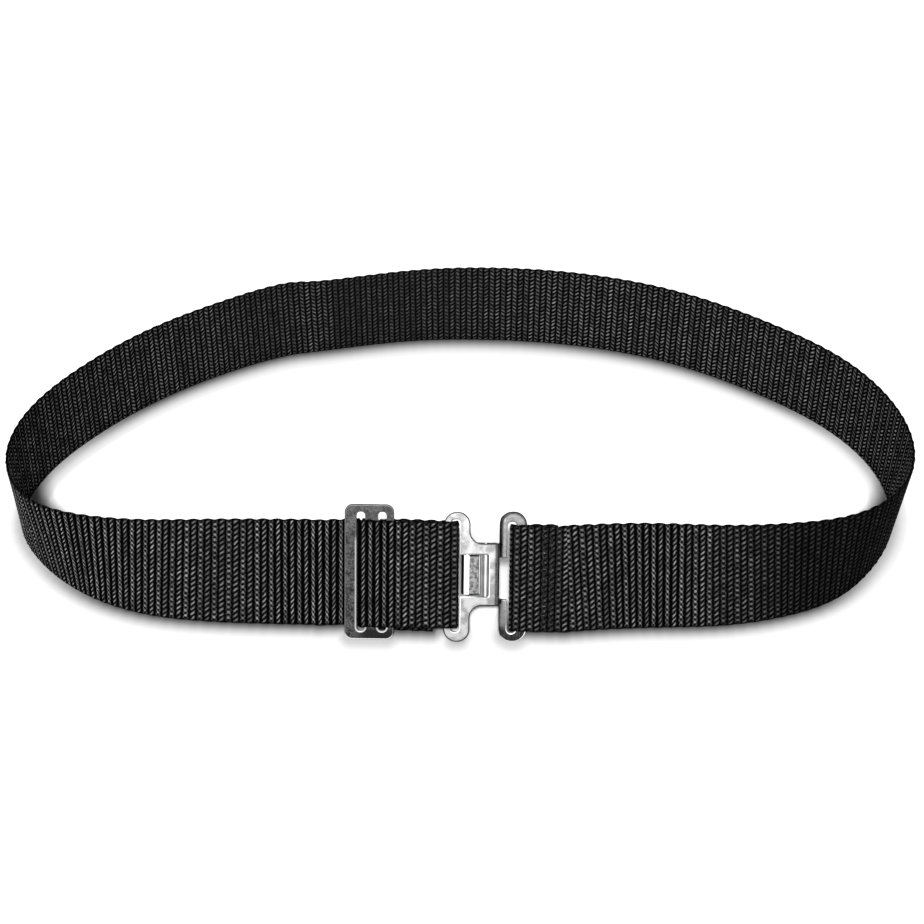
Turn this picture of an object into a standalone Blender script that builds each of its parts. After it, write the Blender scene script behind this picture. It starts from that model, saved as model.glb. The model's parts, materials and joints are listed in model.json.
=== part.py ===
"""Web belt with a two-piece hook buckle and a slide adjuster, fastened and standing on its edge.

The front of the belt is a flat panel that leans back. Everything on it is laid out in the panel's own
directions: along (to the viewer's right), up (across the webbing) and out (towards the viewer).
The rest of the loop follows a short table of places.
"""
import math

import bpy
import bmesh
import numpy as np
from mathutils import Matrix, Vector

MM = 0.001
WELD = 0.01 * MM

# Webbing
WEB_WIDTH = 50.8 * MM
WEB_THICKNESS = 1.7 * MM
GAP = 0.3 * MM
LAYER = WEB_THICKNESS + GAP

# Lower edge of the webbing above the panel's base line, for each stretch of it
HOOK_SIDE_UP = -0.6 * MM
CATCH_SIDE_UP = 0.8 * MM
LEFT_END_UP = 0.0
TAIL_UP = -1.2 * MM

# Where the webbing bends or ends along the panel
PANEL_RIGHT_END = 50.0 * MM
PANEL_LEFT_END = -69.0 * MM
SEWN_END = 44.5 * MM
OUTER_LAYER_BEND = -30.5 * MM
INNER_LAYER_LEVEL = -28.0 * MM
INNER_LAYER_BEND = -9.5 * MM
TAIL_START = -45.0 * MM
TAIL_BEND = -41.8 * MM
TAIL_END = -14.0 * MM

# Bends of the webbing where nothing holds it tight
SOFT_BEND = 20.0 * MM
EASY_BEND = 10.0 * MM
CATCH_BEND = 8.0 * MM
TAIL_BENDS = (1.5 * MM, 3.0 * MM)

# Front panel: where it stands and how it leans
PANEL_LEAN = math.radians(32.0)
PANEL_YAW = math.radians(-1.2)
PANEL_Y = -123.1 * MM

# Slide adjuster, in the panel's directions
SLIDE_THICKNESS = 2.0 * MM
SLIDE_LEFT = -55.6 * MM
SLIDE_OUTER_BAR = 5.1 * MM
SLIDE_MIDDLE_BAR = 5.7 * MM
SLIDE_INNER_BAR = 3.6 * MM
SLIDE_SLOT = 4.4 * MM
SLIDE_TOP = 58.8 * MM
SLIDE_BOTTOM = -5.7 * MM
SLIDE_SLOT_TOP = 55.2 * MM
SLIDE_SLOT_BOTTOM = -1.6 * MM
SLIDE_CORNER = 3.8 * MM
SLOT_ROUNDING = 0.45

# Buckle plates, in the panel's directions
SHEET = 1.4 * MM
SHEET_STEP = SHEET + GAP
RING_WIDTH = 12.7 * MM
RING_CORNER = 6.3 * MM
RING_TOP = 56.2 * MM
CATCH_BOTTOM = -5.7 * MM
HOOK_BOTTOM = -5.9 * MM
RING_SLOT = 4.3 * MM
BOX_TOP = 41.2 * MM
BOX_BOTTOM = 11.8 * MM
BOX_FILLET = 6.0 * MM
TRIM = 0.05 * MM
CUT_DEPTH = 4 * SHEET_STEP

CATCH_OUT = 2.6 * MM
CATCH_LEFT = -8.8 * MM
CATCH_RIGHT = 17.3 * MM
CATCH_SLOT_LEFT = -5.5 * MM
CATCH_WINDOW_RIGHT = 12.4 * MM
CATCH_WINDOW_TOP = 36.2 * MM
CATCH_WINDOW_BOTTOM = 16.0 * MM
CATCH_LIP_END = 2.6 * MM
CATCH_SLOT_TOP = 52.6 * MM
CATCH_SLOT_BOTTOM = -0.9 * MM
CATCH_TOP_CORNER = 2.0 * MM
CATCH_SMALL_CORNER = 0.8 * MM

HOOK_LEFT = -0.7 * MM
HOOK_RING_LEFT = 17.4 * MM
HOOK_SLOT_LEFT = 20.9 * MM
HOOK_BOX_LEFT = 9.0 * MM
HOOK_TONGUE_TOP = 35.4 * MM
HOOK_TONGUE_BOTTOM = 16.6 * MM
HOOK_LIP_END = 8.0 * MM
HOOK_WINDOW_LEFT = 10.5 * MM
HOOK_WINDOW_TOP = 34.1 * MM
HOOK_WINDOW_BOTTOM = 14.4 * MM
HOOK_BOX_TOP = 40.3 * MM
HOOK_SLOT_TOP = 51.4 * MM
HOOK_SLOT_BOTTOM = -1.8 * MM
HOOK_CORNER = 1.5 * MM
TONGUE_CORNER = 1.0 * MM
HOOK_WINDOW_CORNER = 1.2 * MM

# Heights out of the panel that follow from the sheets and the webbing
HOOK_LIP_OUT = CATCH_OUT - SHEET_STEP
CATCH_LIP_OUT = CATCH_OUT - 2 * SHEET_STEP
HOOK_BACK_OUT = CATCH_OUT - 3 * SHEET_STEP
WEB_ON_SHEET = SHEET / 2 + GAP + WEB_THICKNESS / 2
WEB_ON_SLIDE = SLIDE_THICKNESS / 2 + GAP + WEB_THICKNESS / 2
WEB_BESIDE_BAR = GAP + WEB_THICKNESS / 2
FOLD_RADIUS = WEB_ON_SHEET
CATCH_FOLD_PLAY = 0.4 * MM
HOOK_FOLD_PLAY = 0.8 * MM
TAIL_BEHIND_CATCH = CATCH_OUT - WEB_ON_SHEET - 2.9 * MM - LAYER / 2
TURN_RADIUS = 1.2 * MM

# The lowest metal corner stands on the floor, so the panel's webbing is lifted by this much
PANEL_LIFT = -HOOK_BOTTOM * math.cos(PANEL_LEAN) + SHEET / 2 * math.sin(PANEL_LEAN)

# The loop outside the panel, one row per place: name, lower edge's x and y in mm, lean inwards in
# degrees, lift off the floor in mm
LOOP_PLACES = (
    ("front, right of the buckle", 85.5, -122.5, 29, 4.9),
    ("front right", 119.5, -120.5, 23, 4.1),
    ("front right, bending", 155.5, -113, 14, 3.2),
    ("right turn, front", 183, -99.5, 4, 2.4),
    ("right turn", 201, -81.5, -3, 1.8),
    ("right turn, outermost", 217.5, -53.5, -4, 1.1),
    ("right side", 222.5, -8.5, 1, 0.5),
    ("right side, back", 206, 31.5, 2, 0.2),
    ("back right", 171, 68, 2, 0),
    ("back, right of the middle", 125, 98.5, 1, 0),
    ("back middle, right end", 72.5, 117, 0, 0),
    ("back middle", 19, 124, 0, 0),
    ("back middle, left end", -29, 123, 2, 0),
    ("back, flat stretch", -65.5, 116.5, 3.5, 0),
    ("back, flat stretch, left end", -88, 111.5, 2.5, 0),
    ("old fold", -99, 109, 1, 0),
    ("beyond the old fold", -106, 106.5, 1, 0),
    ("back left", -134, 92, 2.5, 0),
    ("left side, back", -169, 66.5, 3, 0),
    ("left side", -204, 28, 4, 0.2),
    ("left turn, outermost", -225, -13.5, 4, 0.5),
    ("left turn", -225, -47.5, 1, 0.9),
    ("left turn, front", -213, -69.5, -3.5, 1.3),
    ("left turn, ending", -199.5, -84.5, -3, 1.8),
    ("front left, bending", -181.5, -98.5, 4, 2.4),
    ("front left", -154.5, -111, 15.5, 3.1),
    ("front, left of the adjuster", -114, -118, 27, 4.2),
)
SPLINE_STEPS = 6

# The middle of the belt's width and depth, which becomes the origin
MIDDLE = Vector((-1.5 * MM, -1.75 * MM, 0.0))

PANEL = (
    Matrix.Translation(Vector((0.0, PANEL_Y, PANEL_LIFT)) - MIDDLE)
    @ Matrix.Rotation(PANEL_YAW, 4, "Z")
    @ Matrix.Rotation(math.pi / 2 - PANEL_LEAN, 4, "X")
)


def clear_scene():
    for old in list(bpy.data.objects):
        bpy.data.objects.remove(old)


def steel(name, color, roughness):
    material = bpy.data.materials.new(name)
    material.use_nodes = True
    surface = material.node_tree.nodes["Principled BSDF"]
    surface.inputs["Base Color"].default_value = (*color, 1.0)
    surface.inputs["Roughness"].default_value = roughness
    surface.inputs["Metallic"].default_value = 1.0
    return material


def cloth(name, color):
    material = steel(name, color, 0.75)
    material.node_tree.nodes["Principled BSDF"].inputs["Metallic"].default_value = 0.0
    return material


def rounded(corners, closed, step=math.radians(18)):
    """Points along straight runs through the corners (a, b, radius), each corner turned as an arc."""
    points = []
    count = len(corners)
    for index, (a, b, radius) in enumerate(corners):
        here = Vector((a, b))
        inner = closed or 0 < index < count - 1
        if not inner or radius == 0:
            points.append(here)
            continue
        before = (Vector(corners[index - 1][:2]) - here).normalized()
        after = (Vector(corners[(index + 1) % count][:2]) - here).normalized()
        half = before.angle(after) / 2
        if half > math.pi / 2 - 1e-4:
            points.append(here)
            continue
        centre = here + (before + after).normalized() * (radius / math.sin(half))
        start = here + before * (radius / math.tan(half)) - centre
        turn = math.pi - 2 * half
        side = 1 if before.x * after.y - before.y * after.x < 0 else -1
        steps = max(2, math.ceil(turn / step))
        for k in range(steps + 1):
            angle = side * turn * k / steps
            cos, sin = math.cos(angle), math.sin(angle)
            points.append(centre + Vector((cos * start.x - sin * start.y, sin * start.x + cos * start.y)))
    apart = [a for a, b in zip(points, points[1:]) if (a - b).length > WELD]
    return apart + [points[-1]]


def travel_at(line, index):
    """Unit direction of a line at one of its points, halfway between the runs that meet there."""
    runs = []
    if index > 0:
        runs.append((line[index] - line[index - 1]).normalized())
    if index < len(line) - 1:
        runs.append((line[index + 1] - line[index]).normalized())
    return sum(runs, Vector((0, 0))).normalized()


def new_object(name, mesh_builder, material=None):
    mesh = bpy.data.meshes.new(name)
    mesh_builder.normal_update()
    mesh_builder.to_mesh(mesh)
    mesh_builder.free()
    result = bpy.data.objects.new(name, mesh)
    bpy.context.scene.collection.objects.link(result)
    if material is not None:
        mesh.materials.append(material)
        mesh.shade_smooth()
        mesh.set_sharp_from_angle(angle=math.radians(30))
    return result


def prism(name, outline, low, high, axis, material=None):
    """A closed outline extruded from low to high: along the third direction, or along the second."""
    builder = bmesh.new()

    def place(point, level):
        return (point.x, point.y, level) if axis == "out" else (point.x, level, point.y)

    bottom = [builder.verts.new(place(point, low)) for point in outline]
    top = [builder.verts.new(place(point, high)) for point in outline]
    count = len(outline)
    for index in range(count):
        following = (index + 1) % count
        builder.faces.new((bottom[index], bottom[following], top[following], top[index]))
    builder.faces.new(bottom[::-1])
    builder.faces.new(top)
    bmesh.ops.recalc_face_normals(builder, faces=builder.faces)
    result = new_object(name, builder, material)
    result.matrix_world = PANEL
    return result


def cut(target, cutter, operation="DIFFERENCE"):
    cutter.hide_render = True
    cutter.display_type = "WIRE"
    boolean = target.modifiers.new(cutter.name, "BOOLEAN")
    boolean.object = cutter
    boolean.operation = operation
    boolean.solver = "EXACT"


def box_outline(left, right, bottom, top, radius):
    corners = ((right, top, radius), (left, top, radius), (left, bottom, radius), (right, bottom, radius))
    return rounded(corners, closed=True)


def bent_sheet(name, route, bottom, top, material):
    """A sheet that follows a route in the along and out directions, as tall as bottom to top."""
    middle = rounded(route, closed=False, step=math.radians(15))
    sides = ([], [])
    for index, point in enumerate(middle):
        travel = travel_at(middle, index)
        across = Vector((-travel.y, travel.x)) * (SHEET / 2)
        sides[0].append(point + across)
        sides[1].append(point - across)
    return prism(name, sides[0] + sides[1][::-1], bottom, top, "up", material)


def slide_adjuster():
    """A flat slide with two slots, so three bars."""
    material = steel("dark_oxide_steel", (0.10, 0.10, 0.105), 0.45)
    right = SLIDE_LEFT + SLIDE_OUTER_BAR + SLIDE_MIDDLE_BAR + SLIDE_INNER_BAR + 2 * SLIDE_SLOT
    outline = box_outline(SLIDE_LEFT, right, SLIDE_BOTTOM, SLIDE_TOP, SLIDE_CORNER)
    slide = prism("slide_adjuster", outline, -SLIDE_THICKNESS / 2, SLIDE_THICKNESS / 2, "out", material)
    for label, left in (("left", slot_edges()[0]), ("right", slot_edges()[2])):
        slot = box_outline(
            left, left + SLIDE_SLOT, SLIDE_SLOT_BOTTOM, SLIDE_SLOT_TOP, SLIDE_SLOT * SLOT_ROUNDING
        )
        cut(slide, prism(f"slot_{label}", slot, -SLIDE_THICKNESS, SLIDE_THICKNESS, "out"))
    return slide


def slot_edges():
    """Left and right edge of the left slot, then of the right slot."""
    first = SLIDE_LEFT + SLIDE_OUTER_BAR
    second = first + SLIDE_SLOT + SLIDE_MIDDLE_BAR
    return first, first + SLIDE_SLOT, second, second + SLIDE_SLOT


def buckle_catch():
    """The front plate: a ring for the webbing, a window, and an end bar bent back into a lip."""
    material = steel("bright_steel", (0.72, 0.72, 0.73), 0.25)
    bend = CATCH_RIGHT - SHEET / 2
    radius = SHEET_STEP
    route = (
        (CATCH_LEFT - GAP, CATCH_OUT, 0),
        (bend, CATCH_OUT, radius),
        (bend, CATCH_LIP_OUT, radius),
        (CATCH_LIP_END, CATCH_LIP_OUT, 0),
    )
    catch = bent_sheet("buckle_catch", route, CATCH_BOTTOM - GAP, RING_TOP + GAP, material)
    ring_right = CATCH_LEFT + RING_WIDTH
    outline = rounded(
        (
            (CATCH_LEFT, RING_TOP, RING_CORNER),
            (CATCH_LEFT, CATCH_BOTTOM, RING_CORNER),
            (ring_right, CATCH_BOTTOM, RING_CORNER),
            (ring_right, BOX_BOTTOM, BOX_FILLET),
            (CATCH_RIGHT + TRIM, BOX_BOTTOM, CATCH_SMALL_CORNER),
            (CATCH_RIGHT + TRIM, BOX_TOP, CATCH_TOP_CORNER),
            (ring_right, BOX_TOP, BOX_FILLET),
            (ring_right, RING_TOP, RING_CORNER),
        ),
        closed=True,
    )
    back = CATCH_OUT - CUT_DEPTH
    between = CATCH_OUT - SHEET_STEP / 2
    front = CATCH_OUT + CUT_DEPTH
    cut(catch, prism("catch_outline", outline, back, front, "out"), "INTERSECT")
    slot_right = CATCH_SLOT_LEFT + RING_SLOT
    slot = box_outline(
        CATCH_SLOT_LEFT, slot_right, CATCH_SLOT_BOTTOM, CATCH_SLOT_TOP, RING_SLOT * SLOT_ROUNDING
    )
    cut(catch, prism("catch_slot", slot, between, front, "out"))
    window = box_outline(
        slot_right - RING_SLOT / 2,
        CATCH_WINDOW_RIGHT,
        CATCH_WINDOW_BOTTOM,
        CATCH_WINDOW_TOP,
        CATCH_SMALL_CORNER,
    )
    cut(catch, prism("catch_window", window, between, front, "out"))
    return catch


def buckle_hook():
    """The rear plate: the same ring, a window, and a tongue bent forward behind the catch's window."""
    material = steel("grey_steel", (0.46, 0.46, 0.47), 0.3)
    bend = HOOK_LEFT + SHEET / 2
    radius = SHEET_STEP
    rise = -HOOK_BACK_OUT
    step_start = CATCH_RIGHT - SHEET / 2 - radius + 2 * radius * math.tan(math.pi / 8)
    ring_right = HOOK_RING_LEFT + RING_WIDTH
    route = (
        (HOOK_LIP_END, HOOK_LIP_OUT, 0),
        (bend, HOOK_LIP_OUT, radius),
        (bend, HOOK_BACK_OUT, radius),
        (step_start, HOOK_BACK_OUT, 2 * radius),
        (step_start + rise, 0, HOOK_CORNER),
        (ring_right + GAP, 0, 0),
    )
    hook = bent_sheet("buckle_hook", route, HOOK_BOTTOM - GAP, RING_TOP + GAP, material)
    outline = rounded(
        (
            (ring_right, RING_TOP, RING_CORNER),
            (HOOK_RING_LEFT, RING_TOP, RING_CORNER),
            (HOOK_RING_LEFT, HOOK_BOX_TOP, HOOK_CORNER),
            (HOOK_BOX_LEFT, HOOK_BOX_TOP, HOOK_CORNER),
            (HOOK_BOX_LEFT, HOOK_TONGUE_TOP, HOOK_CORNER),
            (HOOK_LEFT - TRIM, HOOK_TONGUE_TOP, TONGUE_CORNER),
            (HOOK_LEFT - TRIM, HOOK_TONGUE_BOTTOM, TONGUE_CORNER),
            (HOOK_BOX_LEFT, HOOK_TONGUE_BOTTOM, HOOK_CORNER),
            (HOOK_BOX_LEFT, BOX_BOTTOM, HOOK_CORNER),
            (HOOK_RING_LEFT, BOX_BOTTOM, HOOK_CORNER),
            (HOOK_RING_LEFT, HOOK_BOTTOM, RING_CORNER),
            (ring_right, HOOK_BOTTOM, RING_CORNER),
        ),
        closed=True,
    )
    cut(hook, prism("hook_outline", outline, -CUT_DEPTH, CUT_DEPTH, "out"), "INTERSECT")
    slot_right = HOOK_SLOT_LEFT + RING_SLOT
    slot = box_outline(
        HOOK_SLOT_LEFT, slot_right, HOOK_SLOT_BOTTOM, HOOK_SLOT_TOP, RING_SLOT * SLOT_ROUNDING
    )
    cut(hook, prism("hook_slot", slot, -CUT_DEPTH, CUT_DEPTH, "out"))
    window = box_outline(
        HOOK_WINDOW_LEFT,
        slot_right - RING_SLOT / 2,
        HOOK_WINDOW_BOTTOM,
        HOOK_WINDOW_TOP,
        HOOK_WINDOW_CORNER,
    )
    cut(hook, prism("hook_window", window, -CUT_DEPTH, HOOK_LIP_OUT - SHEET_STEP / 2, "out"))
    return hook


def cubic_through(places):
    """A smooth line through the rows of places, as a natural cubic over the distance between them."""
    places = np.array(places)
    knots = np.concatenate([[0.0], np.cumsum(np.linalg.norm(np.diff(places[:, :2], axis=0), axis=1))])
    spans = np.diff(knots)[:, None]
    count = len(places)
    system = np.eye(count)
    target = np.zeros_like(places)
    for k in range(1, count - 1):
        system[k, k - 1 : k + 2] = spans[k - 1, 0], 2 * (spans[k - 1, 0] + spans[k, 0]), spans[k, 0]
        target[k] = 6 * ((places[k + 1] - places[k]) / spans[k] - (places[k] - places[k - 1]) / spans[k - 1])
    bend = np.linalg.solve(system, target)
    line = []
    for k in range(count - 1):
        for part in np.arange(SPLINE_STEPS) / SPLINE_STEPS:
            rest = 1 - part
            span = spans[k] ** 2 / 6
            line.append(
                places[k] * rest
                + places[k + 1] * part
                + bend[k] * span * (rest**3 - rest)
                + bend[k + 1] * span * (part**3 - part)
            )
    line.append(places[-1])
    return np.array(line)


def panel_run(stops):
    """World stations of the webbing along the panel: lower edge, direction across it, its outer normal."""
    corners = [(along, out, radius) for _, along, out, radius, _ in stops]
    line = rounded(corners, closed=False)
    reach = [0.0]
    for before, after in zip(corners, corners[1:]):
        reach.append(reach[-1] + math.dist(before[:2], after[:2]))
    raised = [up for *_, up in stops]
    turn = PANEL.to_3x3()
    across = turn @ Vector((0, 1, 0))
    stations = []
    travelled = 0.0
    for index, point in enumerate(line):
        travelled += (point - line[max(index - 1, 0)]).length
        travel = travel_at(line, index)
        normal = turn @ Vector((-travel.y, 0, travel.x))
        up = float(np.interp(travelled, reach, raised))
        stations.append((PANEL @ Vector((point.x, up, point.y)), across, normal))
    return stations


def loop_run(first, last):
    """World stations round the loop, from the end of the panel's right run to the start of its left run."""
    rows = [row[1:] for row in LOOP_PLACES]
    ends = []
    for station in (first, last):
        place = (station[0] + MIDDLE) / MM
        ends.append((place.x, place.y, math.degrees(PANEL_LEAN), place.z))
    line = cubic_through([ends[0], *rows, ends[1]])
    stations = []
    for index, (x, y, lean, lift) in enumerate(line[1:-1], start=1):
        travel = Vector((*(line[index + 1][:2] - line[index - 1][:2]), 0)).normalized()
        inward = Vector((-travel.y, travel.x, 0))
        angle = math.radians(lean)
        across = inward * math.sin(angle) + Vector((0, 0, math.cos(angle)))
        low_corner = WEB_THICKNESS / 2 * abs(math.sin(angle))
        edge = Vector((x * MM, y * MM, max(lift, 0.0) * MM + low_corner)) - MIDDLE
        stations.append((edge, across, -across.cross(travel)))
    return stations


def strap():
    """The webbing as one solid: a flat section carried through every station of its route."""
    left_slot, left_slot_end, right_slot, _ = slot_edges()
    fold_right = CATCH_SLOT_LEFT + RING_SLOT - CATCH_FOLD_PLAY - WEB_THICKNESS / 2
    fold_left = HOOK_SLOT_LEFT + HOOK_FOLD_PLAY + WEB_THICKNESS / 2
    up_left = left_slot + WEB_BESIDE_BAR
    down_left = left_slot_end - WEB_BESIDE_BAR
    up_right = right_slot + WEB_BESIDE_BAR
    top_layer = WEB_ON_SLIDE + LAYER
    front = CATCH_OUT + WEB_ON_SHEET
    back = CATCH_OUT - WEB_ON_SHEET
    low = HOOK_SIDE_UP
    high = CATCH_SIDE_UP
    right_run = panel_run(
        (
            ("tail of the sewn end", SEWN_END, -WEB_ON_SHEET, 0, low),
            ("behind the hook's bar", fold_left, -WEB_ON_SHEET, FOLD_RADIUS, low),
            ("in front of the hook's bar", fold_left, WEB_ON_SHEET, FOLD_RADIUS, low),
            ("right end of the panel", PANEL_RIGHT_END, WEB_ON_SHEET, 0, low),
        )
    )
    left_run = panel_run(
        (
            ("left end of the panel", PANEL_LEFT_END, -WEB_ON_SLIDE, 0, LEFT_END_UP),
            ("behind the outer bar", up_left, -WEB_ON_SLIDE, TURN_RADIUS, high),
            ("up through the left slot", up_left, top_layer, TURN_RADIUS, high),
            ("over the slide", OUTER_LAYER_BEND, top_layer, SOFT_BEND, high),
            ("in front of the catch's bar", fold_right, front, FOLD_RADIUS, high),
            ("behind the catch's bar", fold_right, back, FOLD_RADIUS, high),
            ("leaving the catch", INNER_LAYER_BEND, back, CATCH_BEND, high),
            ("coming to the slide", INNER_LAYER_LEVEL, -WEB_ON_SLIDE, EASY_BEND, high),
            ("behind the inner bar", up_right, -WEB_ON_SLIDE, TURN_RADIUS, high),
            ("up through the right slot", up_right, WEB_ON_SLIDE, TURN_RADIUS, high),
            ("over the middle bar", down_left, WEB_ON_SLIDE, TURN_RADIUS, high),
            ("down through the left slot", down_left, -WEB_ON_SLIDE, TURN_RADIUS, LEFT_END_UP),
            ("behind the middle bar", TAIL_START, -WEB_ON_SLIDE, TAIL_BENDS[0], TAIL_UP),
            ("under the inner layer", TAIL_BEND, -WEB_ON_SLIDE - LAYER, TAIL_BENDS[1], TAIL_UP),
            ("along the inner layer", INNER_LAYER_LEVEL, -WEB_ON_SLIDE - LAYER, EASY_BEND, TAIL_UP),
            ("cut end of the tail", TAIL_END, TAIL_BEHIND_CATCH, 0, TAIL_UP),
        )
    )
    stations = right_run + loop_run(right_run[-1], left_run[0]) + left_run
    builder = bmesh.new()
    rings = []
    for edge, across, normal in stations:
        half = normal * (WEB_THICKNESS / 2)
        section = (edge - half, edge + half, edge + across * WEB_WIDTH + half, edge + across * WEB_WIDTH - half)
        rings.append([builder.verts.new(point) for point in section])
    for before, after in zip(rings, rings[1:]):
        for side in range(4):
            following = (side + 1) % 4
            builder.faces.new((before[side], before[following], after[following], after[side]))
    builder.faces.new(rings[0][::-1])
    builder.faces.new(rings[-1])
    bmesh.ops.recalc_face_normals(builder, faces=builder.faces)
    return new_object("strap", builder, cloth("black_webbing", (0.012, 0.012, 0.013)))


clear_scene()
strap()
slide_adjuster()
buckle_catch()
buckle_hook()
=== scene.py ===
"""Looks of the web belt: woven black webbing, a dark slide adjuster and a bright two-piece hook buckle."""
import json
import math
from types import SimpleNamespace

import bmesh
import bpy
import numpy as np
from mathutils import Matrix, Vector, kdtree
from mathutils.geometry import delaunay_2d_cdt

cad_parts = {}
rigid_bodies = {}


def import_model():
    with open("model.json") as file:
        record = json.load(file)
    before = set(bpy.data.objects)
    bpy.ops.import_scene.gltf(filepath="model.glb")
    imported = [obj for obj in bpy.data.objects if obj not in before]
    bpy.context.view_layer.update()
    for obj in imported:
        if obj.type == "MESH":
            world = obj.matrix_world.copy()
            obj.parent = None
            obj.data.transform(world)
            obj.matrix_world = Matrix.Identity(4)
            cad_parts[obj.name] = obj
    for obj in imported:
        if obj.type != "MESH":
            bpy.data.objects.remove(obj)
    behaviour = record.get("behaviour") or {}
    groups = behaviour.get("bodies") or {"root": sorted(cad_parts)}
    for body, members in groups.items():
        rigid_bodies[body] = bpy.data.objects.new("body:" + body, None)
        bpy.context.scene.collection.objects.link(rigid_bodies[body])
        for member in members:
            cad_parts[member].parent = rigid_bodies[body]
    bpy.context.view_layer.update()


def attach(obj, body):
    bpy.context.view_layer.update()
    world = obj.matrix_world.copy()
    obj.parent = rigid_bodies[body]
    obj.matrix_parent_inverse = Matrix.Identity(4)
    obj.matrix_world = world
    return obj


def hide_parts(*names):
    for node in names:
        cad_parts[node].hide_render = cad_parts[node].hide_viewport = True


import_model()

# Webbing: one run of heavy black nylon, two inches wide. It is woven with cross ribs, and the twisted
# warp yarns that float over each rib show as short slanted strokes, leaning one way on one rib and the
# other way on the next. It runs from the hook round the loop, through the slide and round the catch.
MM = 0.001
WEB_WIDTH = 50.8 * MM
WEB_THICKNESS = 1.7 * MM
GAP = 0.3 * MM
LAYER = WEB_THICKNESS + GAP

# The panel is the flat front of the belt. It leans back, and along, up and out on it are x, y and z here.
PANEL_LEAN = math.radians(32.0)
PANEL_YAW = math.radians(-1.2)
PANEL_Y = -123.1 * MM
SLIDE_THICKNESS = 2.0 * MM
SLIDE_LEFT = -55.6 * MM
SLIDE_OUTER_BAR = 5.7 * MM
SLIDE_MIDDLE_BAR = 6.2 * MM
SLIDE_SLOT = 3.9 * MM
SHEET = 1.4 * MM
HOOK_BOTTOM = -5.9 * MM
HOOK_SLOT_LEFT = 20.9 * MM
CATCH_OUT = 2.6 * MM
CATCH_SLOT_LEFT = -5.5 * MM
RING_SLOT = 4.3 * MM

WEB_ON_SHEET = SHEET / 2 + GAP + WEB_THICKNESS / 2
WEB_ON_SLIDE = SLIDE_THICKNESS / 2 + GAP + WEB_THICKNESS / 2
WEB_BESIDE_BAR = GAP + WEB_THICKNESS / 2
TURN_RADIUS = 1.2 * MM
PANEL_LIFT = -HOOK_BOTTOM * math.cos(PANEL_LEAN) + SHEET / 2 * math.sin(PANEL_LEAN)
MIDDLE = Vector((-1.5 * MM, -1.75 * MM, 0.0))
PANEL = (
    Matrix.Translation(Vector((0.0, PANEL_Y, PANEL_LIFT)) - MIDDLE)
    @ Matrix.Rotation(PANEL_YAW, 4, "Z")
    @ Matrix.Rotation(math.pi / 2 - PANEL_LEAN, 4, "X")
)
PANEL_RIGHT, PANEL_UP = (tuple(PANEL.to_3x3().col[k]) for k in (0, 1))

# Places round the loop: name, lower edge's x and y in mm, lean inwards in degrees, lift in mm
LOOP_PLACES = (
    ("front, right of the buckle", 85.5, -122.5, 29, 4.9),
    ("front right", 119.5, -120.5, 23, 4.1),
    ("front right, bending", 155.5, -112.1, 14, 2.5),
    ("right turn, front", 183, -98.1, 4, 1.3),
    ("right turn", 201, -80.4, -3, 0.9),
    ("right turn, outermost", 217.5, -52.8, -4, 0.5),
    ("right side", 222.5, -8.1, 1, 0.2),
    ("right side, back", 206, 31.5, 2, 0.2),
    ("back right", 171, 68, 2, 0),
    ("back, right of the middle", 125, 98.5, 1, 0),
    ("back middle, right end", 72.5, 117, 0, 0),
    ("back middle", 19, 124, 0, 0),
    ("back middle, left end", -29, 123, 2, 0),
    ("back, flat stretch", -65.5, 116.5, 3.5, 0),
    ("back, flat stretch, left end", -88, 111.5, 2.5, 0),
    ("old fold", -99, 109, 1, 0),
    ("beyond the old fold", -106, 106.5, 1, 0),
    ("back left", -134, 92, 2.5, 0),
    ("left side, back", -169, 66.5, 3, 0),
    ("left side", -204, 28, 4, 0.2),
    ("left turn, outermost", -225, -13.1, 4, 0.2),
    ("left turn", -225, -46.9, 1, 0.4),
    ("left turn, front", -213, -68.6, -3.5, 0.6),
    ("left turn, ending", -199.5, -83.4, -3, 0.9),
    ("front left, bending", -181.5, -97.1, 4, 1.3),
    ("front left", -154.5, -110.1, 15.5, 2.4),
    ("front, left of the adjuster", -114, -118, 27, 4.2),
)


def rounded(corners, closed, step=math.radians(6)):
    """Points along straight runs through the corners (a, b, radius), each corner turned as an arc."""
    points = []
    count = len(corners)
    for index, (a, b, radius) in enumerate(corners):
        here = Vector((a, b))
        inner = closed or 0 < index < count - 1
        if not inner or radius == 0:
            points.append(here)
            continue
        before = (Vector(corners[index - 1][:2]) - here).normalized()
        after = (Vector(corners[(index + 1) % count][:2]) - here).normalized()
        half = before.angle(after) / 2
        if half > math.pi / 2 - 1e-4:
            points.append(here)
            continue
        centre = here + (before + after).normalized() * (radius / math.sin(half))
        start = here + before * (radius / math.tan(half)) - centre
        turn = math.pi - 2 * half
        side = 1 if before.x * after.y - before.y * after.x < 0 else -1
        steps = max(2, math.ceil(turn / step))
        for k in range(steps + 1):
            angle = side * turn * k / steps
            cos, sin = math.cos(angle), math.sin(angle)
            points.append(centre + Vector((cos * start.x - sin * start.y, sin * start.x + cos * start.y)))
    apart = [a for a, b in zip(points, points[1:]) if (a - b).length > 0.01 * MM]
    return apart + [points[-1]]


def travel_along(line):
    """Unit direction of a line of points at each of them, halfway between the runs that meet there."""
    runs = np.diff(line, axis=0)
    runs /= np.linalg.norm(runs, axis=1)[:, None]
    turned = np.concatenate([runs[:1], runs[:-1] + runs[1:], runs[-1:]])
    return turned / np.linalg.norm(turned, axis=1)[:, None]


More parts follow.
